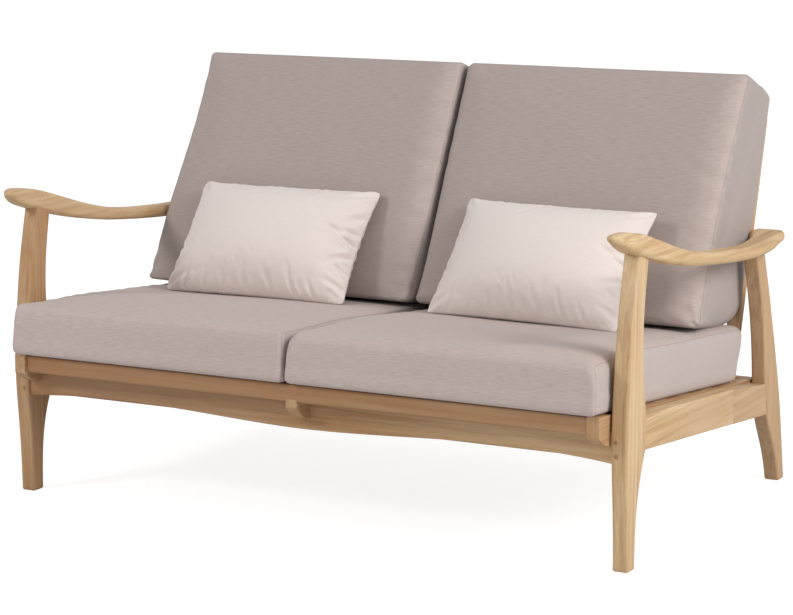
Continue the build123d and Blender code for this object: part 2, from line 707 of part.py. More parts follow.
def soft_outline(plane, left, right, near, far, corner):
    """Sketch of a four-sided outline whose sides draw in a little between rounded corners."""
    middle = (left + right) / 2
    half_way = (near + far) / 2
    with BuildSketch(plane) as view:
        with BuildLine():
            ThreePointArc((left, near), (middle, near + drawn_in), (right, near))
            ThreePointArc((right, near), (right - drawn_in, half_way), (right, far))
            ThreePointArc((right, far), (middle, far - drawn_in), (left, far))
            ThreePointArc((left, far), (left + drawn_in, half_way), (left, near))
        make_face()
        fillet(view.vertices(), radius=corner)
    return view.sketch


# Seat cushions: rounded edges, a crowned top, the rear end parallel to the back
lean_over = tan(radians(back_pitch - seat_pitch))
cushion_under = soft_gap
cushion_top = cushion_under + seat_cushion_thickness
cushion_levels = [(cushion_under + rise * soft_round, inset * soft_round) for rise, inset in soft_rim_shares]
cushion_levels += [(cushion_top - rise * soft_round, inset * soft_round)
                   for rise, inset in soft_rim_shares[::-1]]
cushion_levels += [(cushion_top + rise * seat_crown, inset * soft_round) for rise, inset in soft_crown_shares]
for side, hand in sides:
    left, right = sorted((side * cushion_inner, side * cushion_outer))
    with BuildPart() as seat_cushion:
        loft([soft_outline(seat_plane(level), left + inset, right - inset, inset - cushion_overhang,
                           seat_depth + level * lean_over - soft_gap - inset, soft_corner)
              for level, inset in cushion_levels], ruled=True)
    seat_cushion.part.label = f"seat_cushion_{hand}"
    export_step(seat_cushion.part, f"parts/seat_cushion_{hand}.step")

# Back cushions: wedges that stand on the seat cushions and lie against the back
back_lean = radians(back_pitch)
head_lean = radians(back_cushion_head_pitch)
fall = radians(seat_pitch)
crown_level = cushion_top + seat_crown + soft_gap
cushion_foot_level = crown_level - back_cushion_settle
rear_foot = on_back(cushion_foot_level / cos(radians(back_pitch - seat_pitch)), soft_gap)
front_foot = (rear_foot[0] - back_cushion_foot * cos(fall), rear_foot[1] + back_cushion_foot * sin(fall))
rear_head = (rear_foot[0] + back_cushion_length * sin(back_lean),
             rear_foot[1] + back_cushion_length * cos(back_lean))
front_head = (rear_head[0] - back_cushion_head * cos(head_lean),
              rear_head[1] + back_cushion_head * sin(head_lean))
face_length = ((front_head[0] - front_foot[0]) ** 2 + (front_head[1] - front_foot[1]) ** 2) ** 0.5
face_along = ((front_head[0] - front_foot[0]) / face_length, (front_head[1] - front_foot[1]) / face_length)
mean_thickness = (back_cushion_foot + back_cushion_head) / 2


def wedge_level(share, ahead=0.0):
    """Plane and length of a slice of the back cushion: share 0 at the back, 1 at the front face."""
    foot = (rear_foot[0] + share * (front_foot[0] - rear_foot[0]),
            rear_foot[1] + share * (front_foot[1] - rear_foot[1]))
    head = (rear_head[0] + share * (front_head[0] - rear_head[0]),
            rear_head[1] + share * (front_head[1] - rear_head[1]))
    length = ((head[0] - foot[0]) ** 2 + (head[1] - foot[1]) ** 2) ** 0.5
    toward = (-(head[1] - foot[1]) / length, (head[0] - foot[0]) / length)
    place = (foot[0] + ahead * toward[0] - origin_back, foot[1] + ahead * toward[1])
    return Plane(origin=(0, *place), x_dir=(1, 0, 0), z_dir=(0, *toward)), length


wedge_levels = [(rise * back_rear_round / mean_thickness, 0.0, inset * back_rear_round)
                for rise, inset in soft_rim_shares]
wedge_levels += [(1 - rise * back_front_round / mean_thickness, 0.0, inset * back_front_round)
                 for rise, inset in soft_rim_shares[::-1]]
wedge_levels += [(1.0, rise * back_crown, inset * soft_round) for rise, inset in soft_crown_shares]
back_cushion_outer = half_width - back_cushion_side
for side, hand in sides:
    left, right = sorted((side * cushion_inner, side * back_cushion_outer))
    slices = []
    for share, ahead, inset in wedge_levels:
        level, length = wedge_level(share, ahead)
        slices.append(soft_outline(level, left + inset, right - inset, inset, length - inset, soft_corner))
    with BuildPart() as back_cushion:
        loft(slices, ruled=True)
    back_cushion.part.label = f"back_cushion_{hand}"
    export_step(back_cushion.part, f"parts/back_cushion_{hand}.step")


def pillow_outline(plane, inset):
    """Sketch of a pillow outline: straight below, its other sides draw in between the corners."""
    wide = pillow_width / 2 - inset
    high = pillow_height / 2 - inset
    pull = pillow_drawn_in * (1 - inset / high)
    with BuildSketch(plane) as view:
        with BuildLine():
            Line((-wide, -high), (wide, -high))
            ThreePointArc((wide, -high), (wide - pull, 0), (wide, high))
            ThreePointArc((wide, high), (0, high - pull), (-wide, high))
            ThreePointArc((-wide, high), (pull - wide, 0), (-wide, -high))
        make_face()
        fillet(view.vertices(), radius=pillow_corner)
    return view.sketch


# Throw pillows: each stands on its lower seam and leans on the back cushion
lean = radians(pillow_pitch)
up_pillow = (sin(lean), cos(lean))
out_pillow = (-cos(lean), sin(lean))
face_out = (-face_along[1], face_along[0])
seat_up = (sin(fall), cos(fall))
seat_back = (cos(fall), -sin(fall))
seam_rise = pillow_height / 2 * (up_pillow[0] * seat_up[0] + up_pillow[1] * seat_up[1])
upright_share = -(up_pillow[0] * face_out[0] + up_pillow[1] * face_out[1])
outward_share = out_pillow[0] * face_out[0] + out_pillow[1] * face_out[1]
pillows = [("left", -pillow_left_place, pillow_left_turn, pillow_left_lean_in),
           ("right", pillow_right_place, pillow_right_turn, pillow_right_lean_in)]
for hand, place, turn, lean_in in pillows:
    forward_end_dip = pillow_width / 2 * abs(sin(radians(turn))) * sin(fall)
    pillow_level = crown_level + forward_end_dip + seam_rise
    over_seat = on_seat(0, pillow_level)
    reach = max(pillow_rear_bulge * bulge * outward_share
                + (pillow_height / 2 - inset * pillow_height) * upright_share
                + (pillow_width / 2 - inset * pillow_height) * abs(sin(radians(turn)))
                for bulge, inset in [(0.0, 0.0)] + pillow_shares)
    stand_off = back_crown + soft_gap + reach - lean_in
    room = (over_seat[0] - front_foot[0]) * face_out[0] + (over_seat[1] - front_foot[1]) * face_out[1]
    along = (stand_off - room) / (seat_back[0] * face_out[0] + seat_back[1] * face_out[1])
    centre = on_seat(along, pillow_level)
    turned = radians(turn)

    def pillow_plane(ahead):
        """Plane parallel to the pillow's seam, a distance in front of it."""
        out = (out_pillow[0] * -sin(turned), out_pillow[0] * cos(turned), out_pillow[1])
        back = centre[0] - origin_back + ahead * out[1]
        middle = (place + ahead * out[0], back, centre[1] + ahead * out[2])
        return Plane(origin=middle, x_dir=(cos(turned), sin(turned), 0), z_dir=out)

    seam = pillow_outline(pillow_plane(0), 0)
    with BuildPart() as throw_pillow:
        loft([seam] + [pillow_outline(pillow_plane(bulge * pillow_front_bulge), inset * pillow_height)
                       for bulge, inset in pillow_shares], ruled=True)
        loft([seam] + [pillow_outline(pillow_plane(-bulge * pillow_rear_bulge), inset * pillow_height)
                       for bulge, inset in pillow_shares], ruled=True)
    throw_pillow.part.label = f"throw_pillow_{hand}"
    export_step(throw_pillow.part, f"parts/throw_pillow_{hand}.step")
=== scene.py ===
"""Looks of a patio loveseat: a pale teak frame, woven taupe seat and back cushions, cream throw pillows.

Metres, +X right, +Y back, +Z up, origin on the floor under the middle. The places in side view are
written (back, up), as in the CAD source, and moved to the origin by one value.
"""
import logging
import math
from dataclasses import dataclass
from enum import Enum
from typing import Union

import bmesh
import bpy
import numpy as np
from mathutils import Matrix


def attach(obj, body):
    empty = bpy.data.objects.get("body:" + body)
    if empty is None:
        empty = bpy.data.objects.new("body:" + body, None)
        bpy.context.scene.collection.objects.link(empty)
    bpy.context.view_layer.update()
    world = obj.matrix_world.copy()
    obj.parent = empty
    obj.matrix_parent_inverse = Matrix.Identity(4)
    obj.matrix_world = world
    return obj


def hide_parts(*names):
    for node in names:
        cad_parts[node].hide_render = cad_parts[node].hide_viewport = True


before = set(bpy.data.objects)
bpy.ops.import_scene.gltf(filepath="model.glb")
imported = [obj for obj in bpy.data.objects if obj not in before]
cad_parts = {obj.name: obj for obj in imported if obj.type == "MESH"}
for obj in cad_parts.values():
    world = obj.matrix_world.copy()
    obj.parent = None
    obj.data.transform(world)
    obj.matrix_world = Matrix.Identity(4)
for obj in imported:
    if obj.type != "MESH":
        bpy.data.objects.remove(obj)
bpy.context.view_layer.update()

log = logging.getLogger("loveseat")
Colour = Scale = tuple[float, float, float]
Numbers = tuple[float, ...]
Input = Union[bpy.types.NodeSocket, float, tuple[float, ...]]

# How far the origin lies behind the zero of the places in side view.
ORIGIN_BACK = 0.39199
# Length over which a Wave texture of scale 1 repeats.
WAVE_LENGTH = 0.314
WHITE = (1.0, 1.0, 1.0, 1.0)
BLACK = (0.0, 0.0, 0.0, 1.0)


class Grain(Enum):
    """The direction in which a board's grain runs."""

    ACROSS = (0, 1, 2)
    BACKWARD = (1, 0, 2)
    UPWARD = (2, 0, 1)


class Side(Enum):
    """The two ends of the loveseat, as seen from the front."""

    LEFT = -1
    RIGHT = 1

    @property
    def word(self) -> str:
        """The side's name as the nodes write it."""
        return self.name.lower()


def smooth(value: np.ndarray) -> np.ndarray:
    """Eases 0..1 in and out: three squares less two cubes."""
    value = np.clip(value, 0.0, 1.0)
    return value * value * (3.0 - 2.0 * value)


def spline_through(places: np.ndarray, values: np.ndarray, at: np.ndarray) -> np.ndarray:
    """Natural cubic spline through points, read at other places.

    The second slopes are the solution of the usual three-band system, with none at the ends.

    Args:
        places: rising places of the points.
        values: value at each of them.
        at: places to read.

    Returns:
        The spline's value at each place.
    """
    places, values = np.asarray(places, float), np.asarray(values, float)
    gap = np.diff(places)
    rise = np.diff(values) / gap
    count = len(places)
    bands = np.eye(count)
    right = np.zeros(count)
    inner = np.arange(1, count - 1)
    bands[inner, inner - 1] = gap[:-1]
    bands[inner, inner] = 2 * (gap[:-1] + gap[1:])
    bands[inner, inner + 1] = gap[1:]
    right[inner] = 6 * np.diff(rise)
    bend = np.linalg.solve(bands, right)
    cell = np.clip(np.searchsorted(places, at) - 1, 0, count - 2)
    step = at - places[cell]
    slope = rise[cell] - gap[cell] * (2 * bend[cell] + bend[cell + 1]) / 6
    bent = values[cell] + slope * step + bend[cell] * step**2 / 2
    return bent + (bend[cell + 1] - bend[cell]) * step**3 / (6 * gap[cell])


@dataclass(frozen=True)
class SideView:
    """The seat line and the face of the back in side view."""

    pitch: float = math.radians(5.2)
    lean: float = math.radians(16.5)
    front: tuple[float, float] = (-0.0575, 0.300)
    seat_depth: float = 0.735

    def on_seat(self, along: np.ndarray, above: np.ndarray) -> tuple[np.ndarray, np.ndarray]:
        """Place (back, up) at a distance along the seat line, and above it."""
        back = self.front[0] + along * math.cos(self.pitch) + above * math.sin(self.pitch)
        return back, self.front[1] - along * math.sin(self.pitch) + above * math.cos(self.pitch)

    def on_back(self, along: np.ndarray, ahead: np.ndarray) -> tuple[np.ndarray, np.ndarray]:
        """Place (back, up) at a distance up the face of the back, and in front of it.

        Args:
            along: distances up the face of the back from the seat line.
            ahead: distances in front of that face.

        Returns:
            The places (back, up).
        """
        foot = self.on_seat(self.seat_depth, 0.0)
        back = foot[0] + along * math.sin(self.lean) - ahead * math.cos(self.lean)
        return back, foot[1] + along * math.cos(self.lean) + ahead * math.sin(self.lean)


SIDE_VIEW = SideView()


# Mesh making

def new_piece(name: str, points: np.ndarray, faces: np.ndarray,
              uv: np.ndarray | None = None) -> bpy.types.Object:
    """Makes a mesh object from arrays.

    Args:
        name: the piece's name.
        points: one row per vertex, in metres.
        faces: one row of vertex numbers per face.
        uv: one row per face corner, if the piece has a UV map.

    Returns:
        The object, linked to the scene, with smooth shading.
    """
    mesh = bpy.data.meshes.new(name)
    mesh.from_pydata(np.asarray(points).tolist(), [], [list(face) for face in faces])
    if uv is not None:
        layer = mesh.uv_layers.new(name="cloth")
        layer.data.foreach_set("uv", np.asarray(uv, float).ravel())
    mesh.validate()
    mesh.polygons.foreach_set("use_smooth", np.ones(len(mesh.polygons), bool))
    piece = bpy.data.objects.new(name, mesh)
    bpy.context.scene.collection.objects.link(piece)
    return piece


def set_field(piece: bpy.types.Object, name: str, values: np.ndarray) -> None:
    """Stores a number or a vector per vertex on the piece's mesh.

    Args:
        piece: the piece.
        name: the field's name, as the materials read it.
        values: one number or one row of three per vertex.
    """
    kind = "FLOAT" if values.ndim == 1 else "FLOAT_VECTOR"
    layer = piece.data.attributes.new(name, kind, "POINT")
    layer.data.foreach_set("value" if values.ndim == 1 else "vector", np.asarray(values, float).ravel())


def read_points(mesh: bpy.types.Mesh) -> np.ndarray:
    """The mesh's vertices as one row each.

    Args:
        mesh: the mesh.

    Returns:
        The places, in metres.
    """
    flat = np.empty(len(mesh.vertices) * 3)
    mesh.vertices.foreach_get("co", flat)
    return flat.reshape(-1, 3)


def point_outwards(piece: bpy.types.Object) -> None:
    """Turns the faces of a closed piece outwards.

    Args:
        piece: the piece, whose mesh is changed.
    """
    shell = bmesh.new()
    shell.from_mesh(piece.data)
    bmesh.ops.recalc_face_normals(shell, faces=shell.faces)
    shell.to_mesh(piece.data)
    shell.free()


def rounded_ring(half_a: np.ndarray, half_b: np.ndarray, radius: np.ndarray,
                 steps: int) -> tuple[np.ndarray, np.ndarray]:
    """Rings of rounded rectangles, one for each row of the sizes.

    A corner's points lie on a quarter circle about a centre set in by the radius from both sides.

    Args:
        half_a: half the width of each ring.
        half_b: half its height.
        radius: its corner radius.
        steps: points in each corner, less one.

    Returns:
        The two coordinates, one row per ring and one column per point.
    """
    quarter = np.arange(4).repeat(steps + 1)
    angle = (quarter + np.tile(np.arange(steps + 1) / steps, 4)) * math.pi / 2
    sign_a = np.array([1, -1, -1, 1])[quarter]
    sign_b = np.array([1, 1, -1, -1])[quarter]
    half_a, half_b, radius = (np.asarray(size, float)[:, None] for size in (half_a, half_b, radius))
    return (sign_a * (half_a - radius) + radius * np.cos(angle),
            sign_b * (half_b - radius) + radius * np.sin(angle))


def tube(name: str, rings: np.ndarray) -> bpy.types.Object:
    """Closed skin over a stack of rings, each end closed to a middle point.

    Args:
        name: the piece's name.
        rings: array of rings, points and coordinates.

    Returns:
        The piece.
    """
    count, around, _ = rings.shape
    points = np.vstack([rings.reshape(-1, 3), rings[0].mean(0), rings[-1].mean(0)])
    row, column = np.meshgrid(np.arange(count - 1), np.arange(around), indexing="ij")
    after = (column + 1) % around
    quads = np.stack([row * around + column, row * around + after, (row + 1) * around + after,
                      (row + 1) * around + column], -1).reshape(-1, 4).tolist()
    edge = np.arange(around)
    last = (count - 1) * around
    first_cap = np.stack([edge, np.full(around, count * around), (edge + 1) % around], -1).tolist()
    last_cap = np.stack([last + edge, last + (edge + 1) % around,
                         np.full(around, count * around + 1)], -1).tolist()
    piece = new_piece(name, points, quads + first_cap + last_cap)
    point_outwards(piece)
    return piece


def keep_flats(piece: bpy.types.Object) -> None:
    """Weighs normals by face area, so that flat sides shade flat beside their rounded edges."""
    piece.modifiers.new("flat sides", "WEIGHTED_NORMAL").keep_sharp = True


# Materials

class Tree:
    """The node tree of a material or of the world while it is being put together."""

    def __init__(self, owner: bpy.types.ID) -> None:
        """Takes the owner's tree and empties it.

        Args:
            owner: a new material or world.
        """
        owner.use_nodes = True
        self.owner = owner
        self.nodes = owner.node_tree.nodes
        self.links = owner.node_tree.links
        self.nodes.clear()

    def add(self, kind: str, settings: dict[str, str] | None = None, **inputs: Input) -> bpy.types.Node:
        """Adds a node.

        Args:
            kind: Blender's type name without its prefix.
            settings: properties of the node.
            inputs: sockets by name, underscores for spaces; a value is set, a socket is linked.

        Returns:
            The node.
        """
        node = self.nodes.new("ShaderNode" + kind)
        for key, value in (settings or {}).items():
            setattr(node, key, value)
        for key, value in inputs.items():
            self.feed(node.inputs[key.replace("_", " ")], value)
        return node

    def feed(self, socket: bpy.types.NodeSocket, value: Input) -> None:
        """Links a socket to another one, or sets its value.

        Args:
            socket: the input.
            value: an output to link, or a number or colour to set.
        """
        if isinstance(value, bpy.types.NodeSocket):
            self.links.new(value, socket)
        else:
            socket.default_value = value

    def maths(self, operation: str, first: Input, second: Input = 0.0,
              clamp: bool = False) -> bpy.types.NodeSocket:
        """A Math node's result.

        Args:
            operation: the node's operation.
            first: the first number.
            second: the second number.
            clamp: whether the result is kept between 0 and 1.

        Returns:
            The output.
        """
        node = self.add("Math", {"operation": operation})
        node.use_clamp = clamp
        self.feed(node.inputs[0], first)
        self.feed(node.inputs[1], second)
        return node.outputs[0]

    def blend(self, factor: Input, first: Input, second: Input) -> bpy.types.NodeSocket:
        """A mix of two colours: the first where the factor is 0, the second where it is 1.

        Args:
            factor: share of the second colour.
            first: the first colour.
            second: the second colour.

        Returns:
            The output.
        """
        node = self.add("Mix", {"data_type": "RGBA"})
        self.feed(node.inputs[0], factor)
        self.feed(node.inputs[6], first if isinstance(first, bpy.types.NodeSocket) else (*first, 1.0))
        self.feed(node.inputs[7], second if isinstance(second, bpy.types.NodeSocket) else (*second, 1.0))
        return node.outputs[2]

    def ramp(self, factor: Input, start: float, end: float) -> bpy.types.NodeSocket:
        """A grey ramp, black up to the start and white from the end on.

        Args:
            factor: what the ramp reads.
            start: where it leaves black.
            end: where it reaches white.

        Returns:
            The output.
        """
        node = self.add("ValToRGB")
        first, last = node.color_ramp.elements
        first.position, first.color = start, BLACK
        last.position, last.color = end, WHITE
        self.feed(node.inputs[0], factor)
        return node.outputs[0]

    def marked(self, colour: Input, pattern: Input, start: float, end: float, strength: Input,
               tone: Colour) -> bpy.types.NodeSocket:
        """The colour with marks in another tone, from none at the pattern's start to full at its end."""
        marks = self.maths("MULTIPLY", self.ramp(pattern, start, end), strength)
        return self.blend(marks, colour, tone)

    def noise(self, where: bpy.types.NodeSocket, scale: Scale, detail: float = 2.0, distortion: float = 0.0,
              rough: float = 0.5) -> bpy.types.NodeSocket:
        """Noise over stretched coordinates.

        Args:
            where: the coordinates.
            scale: how often the noise repeats per metre on each axis.
            detail: how many finer layers it has.
            distortion: how far it is warped.
            rough: how strong the finer layers are.

        Returns:
            The output.
        """
        spread = self.add("Mapping", Vector=where, Scale=scale)
        return self.add("TexNoise", Vector=spread.outputs[0], Scale=1.0, Detail=detail,
                        Distortion=distortion, Roughness=rough).outputs[0]

    def mix(self, factor: bpy.types.NodeSocket, first: bpy.types.Node,
            second: bpy.types.Node) -> bpy.types.Node:
        """A mix of two shaders.

        Args:
            factor: share of the second shader.
            first: the first shader.
            second: the second shader.

        Returns:
            The mixing node.
        """
        node = self.add("MixShader")
        for socket, source in zip(node.inputs, (factor, first.outputs[0], second.outputs[0])):
            self.links.new(source, socket)
        return node

    def finish(self, shader: bpy.types.Node, output: str = "OutputMaterial") -> bpy.types.ID:
        """Connects the shader to the output and returns the owner."""
        self.links.new(shader.outputs[0], self.add(output).inputs[0])
        return self.owner


@dataclass(frozen=True)
class TeakFinish:
    """Sanded teak, unfinished: pale straw to tan, with straight fibres and soft growth bands.

    Each scale says how often a pattern repeats per metre, along the fibres and across them.
    """

    name: str = "teak"
    pale: Colour = (0.768, 0.588, 0.370)
    tan: Colour = (0.540, 0.340, 0.152)
    brown: Colour = (0.300, 0.120, 0.045)
    bleached: Colour = (0.800, 0.640, 0.440)
    band_scale: Scale = (1.3, 26.0, 26.0)
    wander_scale: Scale = (1.6, 9.0, 9.0)
    streak_scale: Scale = (2.6, 95.0, 95.0)
    fibre_scale: Scale = (8.0, 330.0, 330.0)
    pore_scale: Scale = (42.0, 1300.0, 1300.0)
    patch_scale: Scale = (2.2, 6.0, 6.0)
    smoothest: float = 0.50
    fibre_roughness: float = 0.12
    relief: float = 0.0004
    gloss: float = 0.35

    def make(self) -> bpy.types.Material:
        """Builds the material on the 'grain' field: its first axis follows the fibres.

        The figure goes from pale to tan. Rings, wandering bands, streaks, fibres, pores and bleached
        patches are laid over it one by one, and the 'tint' field browns the whole board, partly
        for the wood's own tone and partly as painted shade.

        Returns:
            The material.
        """
        tree = Tree(bpy.data.materials.new(self.name))
        grain = tree.add("Attribute", {"attribute_name": "grain"}).outputs["Vector"]
        tint = tree.add("Attribute", {"attribute_name": "tint"}).outputs["Fac"]
        wander = tree.noise(grain, self.wander_scale)
        bands = tree.add("Mapping", Vector=grain, Scale=self.band_scale).outputs[0]
        figure = tree.add("TexNoise", Vector=bands, Scale=1.0, Detail=3.0, Distortion=1.1).outputs[0]
        rings = tree.add("TexWave", {"bands_direction": "DIAGONAL"}, Vector=bands, Scale=0.55,
                         Distortion=5.0, Detail=2.0, Detail_Scale=0.8).outputs["Fac"]
        streak = tree.noise(grain, self.streak_scale, detail=3.0, distortion=0.3)
        fibre = tree.noise(grain, self.fibre_scale, distortion=0.2)
        pores = tree.noise(grain, self.pore_scale, detail=1.0)
        patch = tree.noise(grain, self.patch_scale, detail=1.0)
        colour = tree.blend(tree.ramp(figure, 0.30, 0.72), self.pale, self.tan)
        for pattern, start, end, strength, tone in (
                (rings, 0.35, 0.95, 0.40, self.tan), (wander, 0.45, 0.75, 0.28, self.brown),
                (streak, 0.49, 0.66, 0.52, self.brown), (fibre, 0.45, 0.64, 0.55, self.tan),
                (pores, 0.55, 0.80, 0.30, self.brown), (patch, 0.35, 0.70, 0.30, self.bleached)):
            colour = tree.marked(colour, pattern, start, end, strength, tone)
        # Browns the board by its field, which stands partly for the wood's own tone and partly for painted
        # shade.
        colour = tree.blend(tint, colour, self.brown)
        height = tree.maths("ADD", tree.maths("MULTIPLY", fibre, 0.7), tree.maths("MULTIPLY", pores, -0.6))
        bump = tree.add("Bump", Strength=0.20, Distance=self.relief, Height=height)
        rough = tree.maths("ADD", tree.maths("MULTIPLY", fibre, self.fibre_roughness), self.smoothest)
        shader = tree.add("BsdfPrincipled", Base_Color=colour, Normal=bump.outputs[0], Roughness=rough)
        shader.inputs["Specular IOR Level"].default_value = self.gloss
        return tree.finish(shader)


@dataclass(frozen=True)
class WeaveFinish:
    """Woven cushion cloth: two close tones in fine threads, with short slubs along the weft.

    Each scale says how often a pattern repeats per metre, along the weft and along the warp.
    """

    name: str
    light: Colour
    dark: Colour
    # Tone of the side panels: painted light, cooler than the faces.
    side: Colour
    slub: float
    thread: float = 0.0011
    roughness: float = 0.85
    sheen: float = 0.12
    relief: float = 0.0003
    seam_at: float = -0.003
    seam_half: float = 0.0011
    slub_scale: Scale = (42.0, 640.0, 1.0)
    short_scale: Scale = (260.0, 900.0, 1.0)
    warp_scale: Scale = (760.0, 90.0, 1.0)
    cloud_scale: Scale = (5.0, 7.0, 1.0)
    panel_edge: float = 900.0
    panel_strength: float = 0.45
    shade_level: float = 0.60
    seam_level: float = 0.40
    seam_strength: float = 0.70
    seam_depth: float = 3.0

    def threads(self, tree: Tree, where: bpy.types.NodeSocket) -> bpy.types.NodeSocket:
        """The height of the weave: the product of a fine wave along the weft and one along the warp.

        Args:
            tree: the material's tree.
            where: the coordinates, in metres.

        Returns:
            The output.
        """
        waves = [tree.add("TexWave", {"bands_direction": axis, "wave_profile": "SIN"}, Vector=where,
                          Scale=WAVE_LENGTH / self.thread, Distortion=0.6, Detail=1.0).outputs["Fac"]
                 for axis in "YX"]
        return tree.maths("MULTIPLY", *waves)

    def make(self) -> bpy.types.Material:
        """Builds the material on the piece's UV map, in metres.

        The 'seam' field is the distance to the seam, negative on the side panels, which take the side
        tone, painted light that makes them cooler than the faces. Slubs are noise drawn out along the weft.
        The 'shade' field is painted shade: it darkens the cloth.

        Returns:
            The material.
        """
        tree = Tree(bpy.data.materials.new(self.name))
        where = tree.add("UVMap", {"uv_map": "cloth"}).outputs[0]
        seam = tree.add("Attribute", {"attribute_name": "seam"}).outputs["Fac"]
        shade = tree.add("Attribute", {"attribute_name": "shade"}).outputs["Fac"]
        slubs = tree.noise(where, self.slub_scale, detail=4.0, rough=0.60)
        short = tree.noise(where, self.short_scale)
        warp = tree.noise(where, self.warp_scale)
        cloud = tree.noise(where, self.cloud_scale)
        # Painted light: the side panels take the cooler side tone.
        past = tree.maths("SUBTRACT", self.seam_at, seam)
        panel = tree.maths("MULTIPLY", past, self.panel_edge, clamp=True)
        light = tree.blend(panel, self.light, self.side)
        colour = tree.blend(tree.ramp(slubs, 0.30, 0.70), self.dark, light)
        colour = tree.blend(tree.maths("MULTIPLY", panel, self.panel_strength), colour, self.side)
        for pattern, start, end, strength, tone in (
                (short, 0.42, 0.75, self.slub, self.dark), (warp, 0.45, 0.75, self.slub * 0.7, self.dark),
                (cloud, 0.35, 0.70, 0.15, self.light)):
            colour = tree.marked(colour, pattern, start, end, strength, tone)
        # Painted shade: the 'shade' field darkens the cloth towards a dark tone.
        colour = tree.blend(shade, colour, tuple(self.shade_level * part for part in self.dark))
        share = tree.maths("DIVIDE", tree.maths("ABSOLUTE", past), self.seam_half)
        close = tree.maths("SUBTRACT", 1.0, share, clamp=True)
        colour = tree.blend(tree.maths("MULTIPLY", close, self.seam_strength), colour,
                            tuple(self.seam_level * part for part in self.dark))
        height = tree.maths("ADD", tree.maths("MULTIPLY", self.threads(tree, where), 0.5),
                            tree.maths("MULTIPLY", slubs, 0.5))
        height = tree.maths("ADD", height, tree.maths("MULTIPLY", close, -self.seam_depth))
        bump = tree.add("Bump", Strength=0.30, Distance=self.relief, Height=height)
        shader = tree.add("BsdfPrincipled", Base_Color=colour, Roughness=self.roughness,
                          Normal=bump.outputs[0])
        shader.inputs["Sheen Weight"].default_value = self.sheen
        shader.inputs["Sheen Roughness"].default_value = 0.5
        shader.inputs["Specular IOR Level"].default_value = 0.25
        return tree.finish(shader)


@dataclass(frozen=True)
class SteelFinish:
    """Brushed steel of the hidden bolts and screws."""

    name: str = "steel"
    colour: Colour = (0.55, 0.55, 0.56)
    brush_scale: Scale = (2400.0, 300.0, 300.0)
    smoothest: float = 0.25
    brush_roughness: float = 0.2

    def make(self) -> bpy.types.Material:
        """Builds the material on Object coordinates.

        Returns:
            The material.
        """
        tree = Tree(bpy.data.materials.new(self.name))
        brush = tree.noise(tree.add("TexCoord").outputs["Object"], self.brush_scale)
        rough = tree.maths("ADD", tree.maths("MULTIPLY", brush, self.brush_roughness), self.smoothest)
        return tree.finish(tree.add("BsdfPrincipled", Base_Color=(*self.colour, 1.0), Metallic=1.0,
                                    Roughness=rough))


@dataclass
class Finishes:
    """The materials of the whole loveseat, made once."""

    teak: bpy.types.Material
    taupe: bpy.types.Material
    cream: bpy.types.Material
    steel: bpy.types.Material

    @classmethod
    def make(cls) -> "Finishes":
        """Builds all four.

        Returns:
            The set of materials.
        """
        return cls(
            teak=TeakFinish().make(),
            # The taupe side tone is painted light, cooler than the faces.
            taupe=WeaveFinish("taupe_weave", light=(0.592, 0.497, 0.458), dark=(0.440, 0.360, 0.327),
                              side=(0.520, 0.462, 0.438), slub=0.22).make(),
            cream=WeaveFinish("cream_satin", light=(0.790, 0.712, 0.668), dark=(0.735, 0.650, 0.608),
                              side=(0.790, 0.712, 0.668), slub=0.10, thread=0.0006, roughness=0.55,
                              sheen=0.25, relief=0.0001, seam_at=0.0).make(),
            steel=SteelFinish().make(),
        )


# Wooden frame

